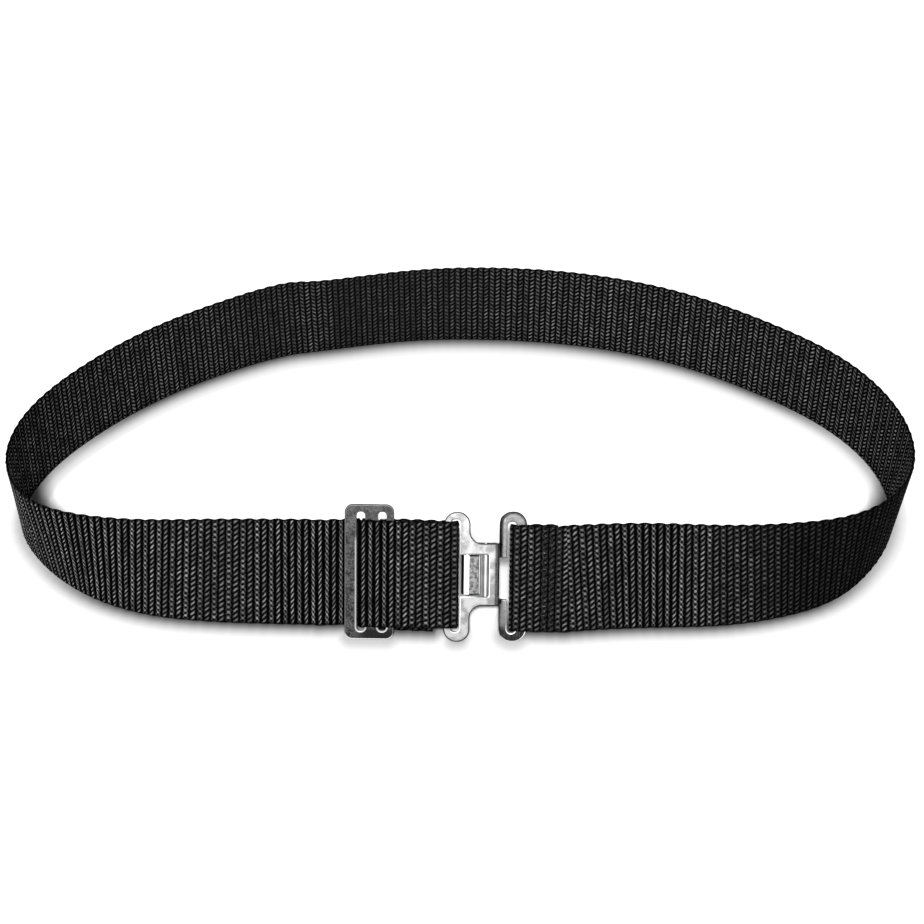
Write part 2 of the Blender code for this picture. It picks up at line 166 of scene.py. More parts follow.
def panel_stretch(stops):
    """The webbing along the panel: one row a place, with its lower edge, direction across and normal."""
    corners = [(along, out, radius) for along, out, radius, _ in stops]
    line = np.array(rounded(corners, closed=False))
    reach = np.cumsum([0.0] + [math.dist(a[:2], b[:2]) for a, b in zip(corners, corners[1:])])
    travelled = np.cumsum([0.0, *np.linalg.norm(np.diff(line, axis=0), axis=1)])
    raised = np.interp(travelled, reach, [up for *_, up in stops])
    travel = travel_along(line)
    flat = np.zeros(len(line))
    turn = np.array(PANEL.to_3x3())
    edge = np.column_stack([line[:, 0], raised, line[:, 1]]) @ turn.T + np.array(PANEL.translation)
    across = np.column_stack([flat, flat + 1, flat]) @ turn.T
    normal = np.column_stack([-travel[:, 1], flat, travel[:, 0]]) @ turn.T
    return np.hstack([edge, across, normal])


def cubic_through(places, steps=24):
    """A smooth line through the rows of places, as a natural cubic over the distance between them."""
    knots = np.cumsum([0.0, *np.linalg.norm(np.diff(places[:, :2], axis=0), axis=1)])
    spans = np.diff(knots)[:, None]
    count = len(places)
    system = np.eye(count)
    target = np.zeros_like(places)
    for k in range(1, count - 1):
        system[k, k - 1 : k + 2] = spans[k - 1, 0], 2 * (spans[k - 1, 0] + spans[k, 0]), spans[k, 0]
        target[k] = 6 * ((places[k + 1] - places[k]) / spans[k] - (places[k] - places[k - 1]) / spans[k - 1])
    bend = np.linalg.solve(system, target)
    line = []
    for k in range(count - 1):
        part = (np.arange(steps) / steps)[:, None]
        rest = 1 - part
        span = spans[k] ** 2 / 6
        straight = places[k] * rest + places[k + 1] * part
        line.append(straight + bend[k] * span * (rest**3 - rest) + bend[k + 1] * span * (part**3 - part))
    return np.vstack([*line, places[-1:]])


def loop_stretch(first, last):
    """The webbing round the loop, from the end of the panel's right stretch to the start of its left one."""
    rows = [np.array(row[1:], float) for row in LOOP_PLACES]
    ends = []
    for station in (first, last):
        x, y, z = (station[:3] + np.array(MIDDLE)) / MM
        ends.append(np.array([x, y, math.degrees(PANEL_LEAN), z]))
    line = cubic_through(np.array([ends[0], *rows, ends[1]]))
    travel = travel_along(line[:, :2])
    flat = np.zeros(len(line))
    angle = np.radians(line[:, 2])
    low_corner = WEB_THICKNESS / 2 * np.abs(np.sin(angle))
    height = np.maximum(line[:, 3], 0) * MM + low_corner
    edge = np.column_stack([line[:, :2] * MM, height]) - np.array(MIDDLE)
    inward = np.column_stack([-travel[:, 1], travel[:, 0], flat])
    across = inward * np.sin(angle)[:, None] + np.column_stack([flat, flat, np.cos(angle)])
    normal = -np.cross(across, np.column_stack([travel, flat]))
    return np.hstack([edge, across, normal])[1:-1]


# Where the webbing bends or ends along the panel, how high its lower edge lies, and how softly it bends
PANEL_RIGHT_END = 50.0 * MM
PANEL_LEFT_END = -69.0 * MM
SEWN_END = 44.5 * MM
OUTER_LAYER_BEND = -30.5 * MM
INNER_LAYER_LEVEL = -28.0 * MM
INNER_LAYER_BEND = -9.5 * MM
TAIL_START = -45.0 * MM
TAIL_BEND = -41.8 * MM
TAIL_END = -14.0 * MM
HOOK_SIDE_UP = -0.6 * MM
CATCH_SIDE_UP = 1.0 * MM
LEFT_END_UP = 0.0
TAIL_UP = -2.3 * MM
SOFT_BEND = 20.0 * MM
EASY_BEND = 10.0 * MM
CATCH_BEND = 8.0 * MM
TAIL_BENDS = (1.5 * MM, 3.0 * MM)
CATCH_FOLD_PLAY = 0.4 * MM
HOOK_FOLD_PLAY = 0.8 * MM
TAIL_DROP = 2.9 * MM

fold_right = CATCH_SLOT_LEFT + RING_SLOT - CATCH_FOLD_PLAY - WEB_THICKNESS / 2
fold_left = HOOK_SLOT_LEFT + HOOK_FOLD_PLAY + WEB_THICKNESS / 2
left_slot = SLIDE_LEFT + SLIDE_OUTER_BAR
right_slot = left_slot + SLIDE_SLOT + SLIDE_MIDDLE_BAR
up_left = left_slot + WEB_BESIDE_BAR
down_left = left_slot + SLIDE_SLOT - WEB_BESIDE_BAR
up_right = right_slot + WEB_BESIDE_BAR
top_layer = WEB_ON_SLIDE + LAYER
catch_front = CATCH_OUT + WEB_ON_SHEET
catch_back = CATCH_OUT - WEB_ON_SHEET
tail_out = -WEB_ON_SLIDE - LAYER
tail_end_out = catch_back - TAIL_DROP - LAYER / 2

# Each stop: place along the panel, out of it, radius of the bend there, height of the lower edge
right_stretch = panel_stretch(
    (
        (SEWN_END, -WEB_ON_SHEET, 0, HOOK_SIDE_UP),
        (fold_left, -WEB_ON_SHEET, WEB_ON_SHEET, HOOK_SIDE_UP),
        (fold_left, WEB_ON_SHEET, WEB_ON_SHEET, HOOK_SIDE_UP),
        (PANEL_RIGHT_END, WEB_ON_SHEET, 0, HOOK_SIDE_UP),
    )
)
left_stretch = panel_stretch(
    (
        (PANEL_LEFT_END, -WEB_ON_SLIDE, 0, LEFT_END_UP),
        (up_left, -WEB_ON_SLIDE, TURN_RADIUS, CATCH_SIDE_UP),
        (up_left, top_layer, TURN_RADIUS, CATCH_SIDE_UP),
        (OUTER_LAYER_BEND, top_layer, SOFT_BEND, CATCH_SIDE_UP),
        (fold_right, catch_front, WEB_ON_SHEET, CATCH_SIDE_UP),
        (fold_right, catch_back, WEB_ON_SHEET, CATCH_SIDE_UP),
        (INNER_LAYER_BEND, catch_back, CATCH_BEND, CATCH_SIDE_UP),
        (INNER_LAYER_LEVEL, -WEB_ON_SLIDE, EASY_BEND, CATCH_SIDE_UP),
        (up_right, -WEB_ON_SLIDE, TURN_RADIUS, CATCH_SIDE_UP),
        (up_right, WEB_ON_SLIDE, TURN_RADIUS, CATCH_SIDE_UP),
        (down_left, WEB_ON_SLIDE, TURN_RADIUS, CATCH_SIDE_UP),
        (down_left, -WEB_ON_SLIDE, TURN_RADIUS, LEFT_END_UP),
        (TAIL_START, -WEB_ON_SLIDE, TAIL_BENDS[0], TAIL_UP),
        (TAIL_BEND, tail_out, TAIL_BENDS[1], TAIL_UP),
        (INNER_LAYER_LEVEL, tail_out, EASY_BEND, TAIL_UP),
        (TAIL_END, tail_end_out, 0, TAIL_UP),
    )
)

# Weave: distances from rib to rib and from float to float, and how the floats slant, step and narrow.
# Ribs come in twos that differ: the second one's floats cross or lean the other way, and they lie lower.
RIB = 3.27 * MM
FIRST_RIB = 0.4
RIB_STEPS = 5
FLOAT = 2.54 * MM
FLOAT_STEPS = 4
SLANT = 0.9
TIGHT_SLANT = 0.45
INNER_SLANT = 0.9
STAGGER = 0.5
PINCH = 0.5
SECOND_RIB = 0.95
INNER_SECOND_RIB = 0.6
LOWEST_CROWN = 0.35
VALLEY = 0.45 * MM
# Selvedge: it thins over this width, and is drawn in at every second rib, less so along the lower edge
SELVEDGE = 0.9 * MM
THIN_EDGE = 0.15
SCALLOP = 0.55 * MM
LOWER_SCALLOP = 0.4
SCALLOP_REACH = 2.5 * MM
NOTCH_PLACE = 1.36
EDGE_ROUND = 0.12 * MM
# Sewn zone behind the hook: where it lies along the panel, and how much flatter its floats are pressed
SEWN_MIDDLE = 40 * MM
SEWN_HALF = 5 * MM
SEWN_RUN = 100 * MM
SEWN_PRESS = 0.6


def weave_height(rib_place, float_place, tight, inner):
    """Height of the floats, 0 in the valleys to 1 on the crowns, at a place in ribs and in floats."""
    rib = np.floor(rib_place)
    second = rib % 2
    pinched = (rib_place - rib - 0.5) * (1 + PINCH * tight)
    lean = pinched * (INNER_SLANT if inner else SLANT + TIGHT_SLANT * tight)
    middle = float_place + second * STAGGER * (1 - inner)
    rising = 0.5 - 0.5 * np.cos(2 * math.pi * (middle - lean))
    falling = 0.5 - 0.5 * np.cos(2 * math.pi * (middle + lean))
    crossing = falling if inner else rising * falling
    crown = rising + (crossing - rising) * second
    column = np.cos(np.clip(math.pi * pinched, -math.pi / 2, math.pi / 2))
    lowered = 1 - (1 - SECOND_RIB) * second * (1 - tight)
    return column * lowered * (LOWEST_CROWN + (1 - LOWEST_CROWN) * crown)


def resampled(rows, pitch):
    """Rows of a line's values at even distances along its middle, and those distances."""
    middle = rows[:, :3] + rows[:, 3:6] * (WEB_WIDTH / 2)
    run = np.cumsum([0.0, *np.linalg.norm(np.diff(middle, axis=0), axis=1)])
    places = np.linspace(0, run[-1], round(run[-1] / pitch) + 1)
    even = np.column_stack([np.interp(places, run, column) for column in rows.T])
    across = even[:, 3:6] / np.linalg.norm(even[:, 3:6], axis=1)[:, None]
    normal = even[:, 6:9] - across * np.sum(even[:, 6:9] * across, axis=1)[:, None]
    normal /= np.linalg.norm(normal, axis=1)[:, None]
    return even[:, :3], across, normal, places


loop = loop_stretch(right_stretch[-1], left_stretch[0])
edge, across, normal, run = resampled(np.vstack([right_stretch, loop, left_stretch]), RIB / RIB_STEPS)
panel_inverse = np.array(PANEL.inverted())
panel_place = edge @ panel_inverse[:3, :3].T + panel_inverse[:3, 3]
sewn_zone = np.exp(-(((panel_place[:, 0] - SEWN_MIDDLE) / SEWN_HALF) ** 4)) * (run < SEWN_RUN)
flatness = 1 - SEWN_PRESS * sewn_zone


def swell(places, middle, reach):
    """1 near the middle, falling softly to 0 beyond the reach."""
    return np.exp(-(((places - middle) / reach) ** 2))


# The cloth is drawn tight on both sides of the slide, on the right of the front and past the left turn
beside_slide = swell(panel_place[:, 0], -70 * MM, 26 * MM) + swell(panel_place[:, 0], -44 * MM, 12 * MM)
on_the_right = 0.7 * swell(panel_place[:, 0], 92 * MM, 22 * MM)
past_left_turn = 0.8 * swell(run, 950 * MM, 50 * MM)
in_front = panel_place[:, 2] > -6 * MM
tight = np.maximum(np.clip(beside_slide + on_the_right, 0, 1) * in_front, past_left_turn)
# Painted light and shade on the yarns, by distance along the webbing in mm: darkest on the outside of the
# right end, turned away from the light, and dimmer in stretches of the inside of the back
outer_painted_light = np.interp(
    run / MM,
    (30, 46, 61, 79, 95, 112, 128, 142, 162, 203)
    + (280, 360, 990, 1014, 1034, 1052, 1075, 1105, 1117, 1133),
    (0.6, 0.76, 0.6, 0.72, 0.92, 0.87, 0.45, 0.36, 0.1, 0.1)
    + (0.25, 0.9, 1.0, 0.7, 0.75, 0.98, 1.08, 0.86, 0.68, 0.44),
)
inner_painted_light = 0.85 * np.interp(
    run / MM,
    (500, 545, 567, 598, 640, 648, 657, 668, 680, 700, 722, 745),
    (1.0, 0.8, 0.55, 0.4, 0.3, 0.6, 0.8, 0.6, 0.42, 0.63, 0.85, 1.0),
)

floats_across = round(WEB_WIDTH / FLOAT)
rows_across = floats_across * FLOAT_STEPS
place_across = np.linspace(0, WEB_WIDTH, rows_across + 1)
from_edge = np.minimum(place_across, WEB_WIDTH - place_across)
edge_shape = np.sqrt(np.clip(from_edge / SELVEDGE * (1 - THIN_EDGE) + THIN_EDGE, 0, 1))
inward = np.where(place_across < WEB_WIDTH / 2, LOWER_SCALLOP, -1)
edge_pull = np.clip(1 - from_edge / SCALLOP_REACH, 0, 1) * inward
# The ribs lie a little closer in some places and wider in others: their shift in ribs, by distance in mm
rib_shift = np.interp(
    run / MM, (142, 200, 520, 590, 900, 993, 1040, 1075), (0.89, 0.6, 0.0, -0.47, 0.5, 0.86, 0.55, 0.5)
)
rib_place = run / RIB + FIRST_RIB + rib_shift
scallop = (SCALLOP * (0.5 + 0.5 * np.cos(math.pi * (rib_place - NOTCH_PLACE))) ** 1.6)[:, None]
inner_start = 2 * math.ceil(rib_place[-1] / 2)


def web_face(side):
    """Points of one face of the webbing, row by row: side is 1 outside and -1 inside."""
    ribs = rib_place[:, None] if side > 0 else inner_start - rib_place[:, None]
    woven = weave_height(ribs, place_across[None, :] / FLOAT, tight[:, None], side < 0) * flatness[:, None]
    half = (VALLEY + (WEB_THICKNESS / 2 - VALLEY) * woven) * edge_shape
    sideways = place_across + scallop * edge_pull
    return edge[:, None] + across[:, None] * sideways[..., None] + normal[:, None] * (side * half)[..., None]


def web_rings():
    """Rings of points round the webbing: outside, upper selvedge, inside, lower selvedge."""
    off_floor = edge[:, 2:] > GAP
    upper = (edge + across * (WEB_WIDTH - scallop + EDGE_ROUND))[:, None]
    lower = (edge + across * (scallop * LOWER_SCALLOP - EDGE_ROUND * off_floor))[:, None]
    return np.concatenate([web_face(1), upper, web_face(-1)[:, ::-1], lower], axis=1)


def in_scene(name, data):
    """A new object for a mesh, lamp or camera, in the scene."""
    made = bpy.data.objects.new(name, data)
    bpy.context.scene.collection.objects.link(made)
    return made


def quad_mesh(name, points, corners, map_name, map_points):
    """A mesh of quads, with a map for the material: one pair of numbers for each corner."""
    mesh = bpy.data.meshes.new(name)
    mesh.from_pydata(points.tolist(), [], corners.tolist())
    layer = mesh.uv_layers.new(name=map_name)
    layer.data.foreach_set("uv", map_points.astype(np.float32).ravel())
    mesh.shade_smooth()
    return in_scene(name, mesh)


def give(mesh, name, values):
    """A number for each point of a mesh, for its material."""
    mesh.attributes.new(name, "FLOAT", "POINT").data.foreach_set("value", values.astype(np.float32))


def web_piece(name, rings, first, last, closed_ends):
    """The webbing between two rows as one mesh, with its places in ribs and floats as a map."""
    part = rings[first : last + 1]
    count, around = part.shape[:2]
    column = np.arange(around)
    following = (column + 1) % around
    row = np.arange(count - 1)[:, None] * around
    corners = np.stack([row + column, row + following, row + around + following, row + around + column], -1)
    # Each corner's place in ribs and floats. The inside counts its ribs from the other end, and the
    # selvedges lie a margin beyond the first and the last float
    floats = place_across / FLOAT
    margin = 0.3
    outside = column <= rows_across
    start = np.concatenate([floats, [floats[-1] + margin], floats[::-1], [-margin]])
    end = np.concatenate([floats[1:], [floats[-1] + margin], [floats[-1]], floats[::-1][1:], [-margin], [0]])
    ribs = rib_place[first : last + 1]
    here = np.where(outside, ribs[:-1, None], inner_start - ribs[:-1, None])
    there = np.where(outside, ribs[1:, None], inner_start - ribs[1:, None])
    start = np.broadcast_to(start, here.shape)
    end = np.broadcast_to(end, here.shape)
    pairs = [(here, start), (here, end), (there, end), (there, start)]
    maps = np.stack([np.stack(pair, -1) for pair in pairs], -2).reshape(-1, 2)
    corners = corners.reshape(-1, 4)
    # A cap of quads from face to face closes a cut end
    back = 2 * rows_across + 2 - np.arange(rows_across)
    front = np.arange(rows_across)
    for base, closed, flip in ((0, closed_ends[0], 1), ((count - 1) * around, closed_ends[1], -1)):
        if closed:
            cap = base + np.stack([front, back, back - 1, front + 1], -1)[:, ::flip]
            corners = np.vstack([corners, cap])
            maps = np.vstack([maps, np.zeros((4 * len(cap), 2))])
    piece = quad_mesh(name, part.reshape(-1, 3), corners, "weave", maps)
    give(piece.data, "tight", np.repeat(tight[first : last + 1], around))
    give(piece.data, "sewn", np.repeat(sewn_zone[first : last + 1], around))
    within = np.clip(column - rows_across, 0, 1) * (column < around - 1)
    # Painted light and shade at each point: the outside's row of values and the inside's
    painted_light = np.stack([outer_painted_light, inner_painted_light])[:, first : last + 1]
    give(piece.data, "inner", np.tile(within, count))
    give(piece.data, "painted_light", (painted_light[0][:, None] * (1 - within) + painted_light[1][:, None] * within).ravel())
    return piece


class Shade:
    """A socket in a material. Arithmetic on it adds Math nodes, and node() adds any other node."""

    def __init__(self, tree, socket=None):
        self.tree = tree
        self.socket = socket

    def node(self, kind, settings=None, inputs=None, output=0):
        made = self.tree.nodes.new(kind)
        for key, value in (settings or {}).items():
            setattr(made, key, value)
        for key, value in (inputs or {}).items():
            if isinstance(value, Shade):
                self.tree.links.new(value.socket, made.inputs[key])
            else:
                made.inputs[key].default_value = value
        return Shade(self.tree, made.outputs[output])

    def math(self, operation, *others):
        """This value, and any others after it, through a Math node."""
        return self.node("ShaderNodeMath", {"operation": operation}, dict(enumerate((self, *others))))

    def __add__(self, other):
        return self.math("ADD", other)

    def __sub__(self, other):
        return self.math("SUBTRACT", other)

    def __rsub__(self, other):
        return self.node("ShaderNodeMath", {"operation": "SUBTRACT"}, {0: other, 1: self})

    def __mul__(self, other):
        return self.math("MULTIPLY", other)

    def __neg__(self):
        return self.math("MULTIPLY", -1.0)

    __radd__ = __add__
    __rmul__ = __mul__

    def wave(self):
        """0 at each whole number and 1 halfway between them."""
        return 0.5 - 0.5 * (self * (2 * math.pi)).math("COSINE")

    def rise(self, low, high):
        """0 below low and 1 above high, with a soft rise between them. It falls where high is the lower."""
        limits = {"Value": self, "From Min": low, "From Max": high}
        return self.node("ShaderNodeMapRange", {"interpolation_type": "SMOOTHSTEP"}, limits)

    def band(self, start, full, last, end):
        """1 from full to last, with a soft fall to 0 at start and at end."""
        return self.rise(start, full) * self.rise(end, last)

    def mix(self, low, high, clamped=False):
        """A colour from low to high by this value, which may go past them unless it is clamped."""
        settings = {"data_type": "RGBA", "clamp_factor": clamped}
        return self.node("ShaderNodeMix", settings, {0: self, 6: low, 7: high}, output=2)

    def part(self, axis):
        """The x, y or z of a vector, as axis 0, 1 or 2."""
        return self.node("ShaderNodeSeparateXYZ", inputs={0: self}, output=axis)

    def dot(self, direction):
        """How far a vector goes along a direction."""
        return self.node("ShaderNodeVectorMath", {"operation": "DOT_PRODUCT"}, {0: self, 1: direction}, 1)

    def given(self, name):
        """A number that the mesh holds for each of its points."""
        return self.node("ShaderNodeAttribute", {"attribute_name": name}, output=2)

    def noise(self, place, scale, detail=2.0, dimensions="3D"):
        """Soft noise from 0 to 1 at a place."""
        socket = "W" if dimensions == "1D" else "Vector"
        inputs = {socket: place, "Scale": scale, "Detail": detail}
        return self.node("ShaderNodeTexNoise", {"noise_dimensions": dimensions}, inputs)

    def bump(self, strength, distance):
        """The surface's direction with this value as relief."""
        inputs = {"Strength": strength, "Distance": distance, "Height": self}
        return self.node("ShaderNodeBump", inputs=inputs)


def grey(level):
    return (level, level, level, 1.0)


def new_material(name):
    """A new material: its shade for adding nodes, its surface shader, and the material."""
    material = bpy.data.materials.new(name)
    material.use_nodes = True
    tree = material.node_tree
    return Shade(tree), tree.nodes["Principled BSDF"], material


def feed(surface, values):
    """Sets or links the sockets of a surface shader."""
    for key, value in values.items():
        if isinstance(value, Shade):
            value.tree.links.new(value.socket, surface.inputs[key])
        else:
            surface.inputs[key].default_value = value


# Greys of the webbing, from painted shade in the depth between the yarns to a painted highlight on a yarn's
# crown
DEPTH_PAINTED_SHADE = 0.0004
CLOTH_FACE = 0.024
YARN_PAINTED_HIGHLIGHT = 0.16
YARN_PLIES = 4


def black_webbing():
    """Near-black nylon: painted highlights on yarn crowns, painted shade between them, yarn twist as relief.
    """
    shade, surface, material = new_material("black_webbing")
    place = shade.node("ShaderNodeUVMap", {"uv_map": "weave"})
    drawn, sewn, within, painted_light = (shade.given(name) for name in ("tight", "sewn", "inner", "painted_light"))

    # The floats of the mesh again, shifted a little here and there as loom work is
    up = place.part(1)
    along = place.part(0) + (shade.noise(place, 0.9) - 0.5) * 0.22
    rib = along.math("FLOOR")
    second = rib.math("FLOORED_MODULO", 2.0)
    pinched = (along - rib - 0.5) * (1 + PINCH * drawn)
    slant = SLANT + TIGHT_SLANT * drawn
    lean = pinched * (slant + (INNER_SLANT - slant) * within)
    middle = up + second * STAGGER * (1 - within) + (shade.noise(place, 1.3) - 0.5) * 0.45
    rising, falling = (middle - lean).wave(), (middle + lean).wave()
    column = (pinched * math.pi).math("COSINE")

    # Painted highlights on the crowns: slanted strokes on the first rib of two, knots or chevrons on the
    # second
    broken = shade.noise(place, 2.5).rise(0.35, 0.55)
    slanted = rising.rise(0.5, 1.0) * column.rise(0.42, 1.0) * (0.65 + 0.35 * broken)
    knots = (rising * falling).rise(0.1, 0.75) * column.rise(0.4, 0.95)
    frayed = shade.noise(place, 1.9).rise(0.4, 0.6)
    links = falling.math("MAXIMUM", rising * 0.8).rise(0.55, 1.0) * column.rise(0.1, 0.75) * frayed
    knotted = knots + links * (0.5 - 0.5 * knots)
    chevron = falling.rise(0.4, 0.95) * column.rise(0.35, 0.95)
    crossing = knotted + (chevron - knotted) * within.math("MAXIMUM", 0.45 * drawn)
    stroke = slanted + (crossing - slanted) * second

    # Painted highlight strength: by float, rib and fibre, fading at selvedge and seam, and with the painted
    # light
    float_place = (middle - lean).math("FLOOR")
    cell = shade.node("ShaderNodeCombineXYZ", inputs={0: rib * 0.71, 1: float_place * 0.37})
    by_float = shade.noise(cell, 1.0, 1.0).rise(0.2, 0.8) * 1.3 + 0.4
    by_rib = shade.noise(rib * 0.37, 1.0, 1.0, "1D").rise(0.3, 0.7) * 0.5 + 0.75
    by_fibre = 1 + 0.9 * (shade.noise(place, 5.0, 3.0) - 0.5)
    off_selvedge = up.math("MINIMUM", floats_across - up).rise(0.2, 0.6)
    second_level = SECOND_RIB + (INNER_SECOND_RIB - SECOND_RIB) * within
    level = 0.62 * (1 - (1 - second_level) * second * (1 - drawn)) * (1 - 0.65 * sewn) * painted_light
    speckled = 1 + sewn * (1.6 * shade.noise(place, 2.6).rise(0.48, 0.62) - 1)
    light = stroke * by_fibre * by_float * by_rib * level * off_selvedge * speckled

    # The cloth between the strokes: painted shade, a little lighter where a float rises or lint lies; outside
    # it darkens and inside it lightens where the painted light is low
    body = rising.rise(0.0, 0.5) * column.rise(0.0, 0.7)
    lint = shade.noise(place, 7.0, 3.0).rise(0.42, 0.7)
    painted_dimming = 1 - 0.8 * (1 - painted_light) * (1 - within)
    cloth = body * (0.25 + 0.75 * lint) * painted_dimming * (1 - 0.55 * within * painted_light)
    plies = ((middle - lean) * (2 * math.pi * YARN_PLIES)).math("SINE") * 0.5 + 0.5
    relief = stroke * 0.8 + column * 0.3 + plies * 0.1 * column
    feed(
        surface,
        {
            "Base Color": light.mix(cloth.mix(grey(DEPTH_PAINTED_SHADE), grey(CLOTH_FACE)), grey(YARN_PAINTED_HIGHLIGHT), True),
            "Roughness": 0.75 - 0.25 * light,
            "Specular IOR Level": 0.0,
            "Coat Weight": 0.8 * light,
            "Coat Roughness": 0.36,
            "Normal": relief.bump(0.6, 0.3 * MM),
        },
    )
    return material


WEBBING_PIECES = ("webbing_front_right", "webbing_back_right", "webbing_back_left", "webbing_front_left")
web_material = black_webbing()
rings = web_rings()
last_row = len(rings) - 1
cuts = [0, *(round(last_row * share / RIB_STEPS) * RIB_STEPS for share in (0.25, 0.5, 0.75)), last_row]
for index, name in enumerate(WEBBING_PIECES):
    ends = (index == 0, index == len(WEBBING_PIECES) - 1)
    piece = web_piece(name, rings, cuts[index], cuts[index + 1], ends)
    piece.data.materials.append(web_material)
    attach(piece, "root")
    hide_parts("strap")

# Seams: black thread. The folded end behind the hook is sewn down with zigzag rows through both layers,
# and the tail behind the slide is sewn to the layer in front of it the same way.
THREAD = 0.42 * MM
THREAD_SINK = 0.12 * MM
STITCH = 2.1 * MM
ZIGZAG = 1.5 * MM
SEAM_MARGIN = 2 * MM
HOOK_SEAMS = (37.6 * MM, 41.2 * MM)
TAIL_SEAMS = (-20.0 * MM, -17.0 * MM)
THREAD_SIDES = 6
THREAD_STEPS = 6


def thread_row(along, out, face, lower_edge):
    """Ends of the stitches of one zigzag row up the webbing. Its face is 1 for the front, -1 for the back."""
    low = lower_edge + SEAM_MARGIN
    stitches = []
    for k in range(int((WEB_WIDTH - 2 * SEAM_MARGIN) / STITCH)):
        turn = 1 if k % 2 else -1
        start = Vector((along - turn * ZIGZAG / 2, low + k * STITCH, out))
        end = Vector((along + turn * ZIGZAG / 2, low + (k + 1) * STITCH, out))
        stitches.append((start, end, face))
    return stitches


def sewn_seam(name, stitches):
    """Short bowed lengths of thread, each sunk into the webbing at both ends."""
    builder = bmesh.new()
    for start, end, face in stitches:
        travel = (end - start).normalized()
        away = Vector((0, 0, face))
        beside = travel.cross(away)
        previous = None
        for k in range(THREAD_STEPS + 1):
            part = k / THREAD_STEPS
            bow = (math.sin(math.pi * part) * 0.6 - 0.3) * THREAD
            centre = start.lerp(end, part) + away * bow
            ring = []
            for corner in range(THREAD_SIDES):
                angle = 2 * math.pi * corner / THREAD_SIDES
                offset = beside * math.cos(angle) + away * math.sin(angle)
                ring.append(builder.verts.new(PANEL @ (centre + offset * THREAD / 2)))
            if previous:
                for a in range(THREAD_SIDES):
                    b = (a + 1) % THREAD_SIDES
                    builder.faces.new((previous[a], previous[b], ring[b], ring[a]))
            else:
                builder.faces.new(ring[::-1])
            previous = ring
        builder.faces.new(previous)
    bmesh.ops.recalc_face_normals(builder, faces=builder.faces)
    mesh = bpy.data.meshes.new(name)
    builder.to_mesh(mesh)
    builder.free()
    mesh.shade_smooth()
    return in_scene(name, mesh)


def black_thread():
    """Bonded black thread, a little shinier than the webbing's depths, with its twist as relief."""
    shade, surface, material = new_material("black_thread")
    fibre = shade.noise(shade.node("ShaderNodeTexCoord", output=3), 2600.0, 3.0)
    feed(
        surface,
        {
            "Base Color": fibre.mix(grey(0.002), grey(0.014)),
            "Roughness": 0.6 + 0.2 * fibre,
            "Specular IOR Level": 0.15,
            "Normal": fibre.bump(0.5, 0.05 * MM),
        },
    )
    return material


def tail_back(along):
    """How far out of the panel a seam on the tail's back lies."""
    share = (along - INNER_LAYER_LEVEL) / (TAIL_END - INNER_LAYER_LEVEL)
    return tail_out + share * (tail_end_out - tail_out) - WEB_THICKNESS / 2 + THREAD_SINK


thread_material = black_thread()
sewn_out = WEB_ON_SHEET + WEB_THICKNESS / 2 - THREAD_SINK
hook_rows = []
for face in (1, -1):
    hook_rows += [thread_row(along, face * sewn_out, face, HOOK_SIDE_UP) for along in HOOK_SEAMS]
tail_rows = [thread_row(along, tail_back(along), -1, TAIL_UP) for along in TAIL_SEAMS]
for name, rows in (("seam_at_hook", hook_rows), ("seam_at_tail", tail_rows)):
    seam = sewn_seam(name, [stitch for row in rows for stitch in row])
    seam.data.materials.append(thread_material)
    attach(seam, "root")

# Slide adjuster: a stamped steel slide, two slots and three bars, blackened all over. The blackening has
# worn off its edges where the webbing rubs, and it hangs on the webbing's two runs. A painted highlight lies
# along its rim's underside, with painted shade at its foot and painted light on its head.
SLIDE_INNER_BAR = 3.6 * MM
SLIDE_TOP = 58.8 * MM
SLIDE_BOTTOM = -5.7 * MM
SLIDE_SLOT_TOP = 55.2 * MM
SLIDE_SLOT_BOTTOM = -1.6 * MM
SLIDE_CORNER = 3.8 * MM
SLOT_ROUNDING = 0.45
SLIDE_RIM = 0.6 * MM
# Its greys: the oxide's darkest and lightest, metal that shows at an edge, and metal rubbed bright, which
# also serves as a painted highlight along the rim's underside
OXIDE_DARK = 0.005
OXIDE_LIGHT = 0.06
OXIDE_WORN = 0.1
OXIDE_RUBBED_AND_PAINTED_HIGHLIGHT = 0.5
# Every pressed sheet: how an edge is rounded over, and the spacing of points where the sheet bends
EDGE_ANGLES = (0, 25, 50, 75, 90)
RIM_REACH = 1.6
BEND_SPACING = 1.6 * MM
BEND_MARGIN = 0.5 * MM


def box_outline(left, right, bottom, top, radius):
    """A rounded rectangle."""
    corners = ((right, top), (left, top), (left, bottom), (right, bottom))
    return rounded([(*corner, radius) for corner in corners], True)


def flat_route(places):
    """The route of a sheet with no bends: place along and out, and the sheet's normal there."""
    zero = np.zeros_like(places)
    return places, zero, zero, zero + 1


def loop_with_stations(points, stations, outer):
    """A closed loop as an array, wound so that the metal is on its left, with a point at each station."""
    loop = np.array([tuple(point) for point in points])
    following = np.roll(loop, -1, axis=0)
    area = np.sum(loop[:, 0] * following[:, 1] - following[:, 0] * loop[:, 1])
    if (area > 0) != outer:
        loop = loop[::-1]
    result = []
    for here, there in zip(loop, np.roll(loop, -1, axis=0)):
        shares = [(s - here[0]) / (there[0] - here[0]) for s in stations if abs(there[0] - here[0]) > 1e-6]
        inner = sorted(share for share in shares if 0.02 < share < 0.98)
        result += [here] + [here + (there - here) * share for share in inner]
    return np.array(result)


def shrunk(loop, distance):
    """The loop moved into the metal by a distance."""
    before = loop - np.roll(loop, 1, axis=0)
    after = np.roll(loop, -1, axis=0) - loop
    before /= np.linalg.norm(before, axis=1)[:, None]
    after /= np.linalg.norm(after, axis=1)[:, None]
    left = np.column_stack([-(before + after)[:, 1], (before + after)[:, 0]])
    left /= np.linalg.norm(left, axis=1)[:, None]
    lengthened = np.maximum(np.sum(left * np.column_stack([-after[:, 1], after[:, 0]]), axis=1), 0.5)
    return loop + left * (distance / lengthened)[:, None]


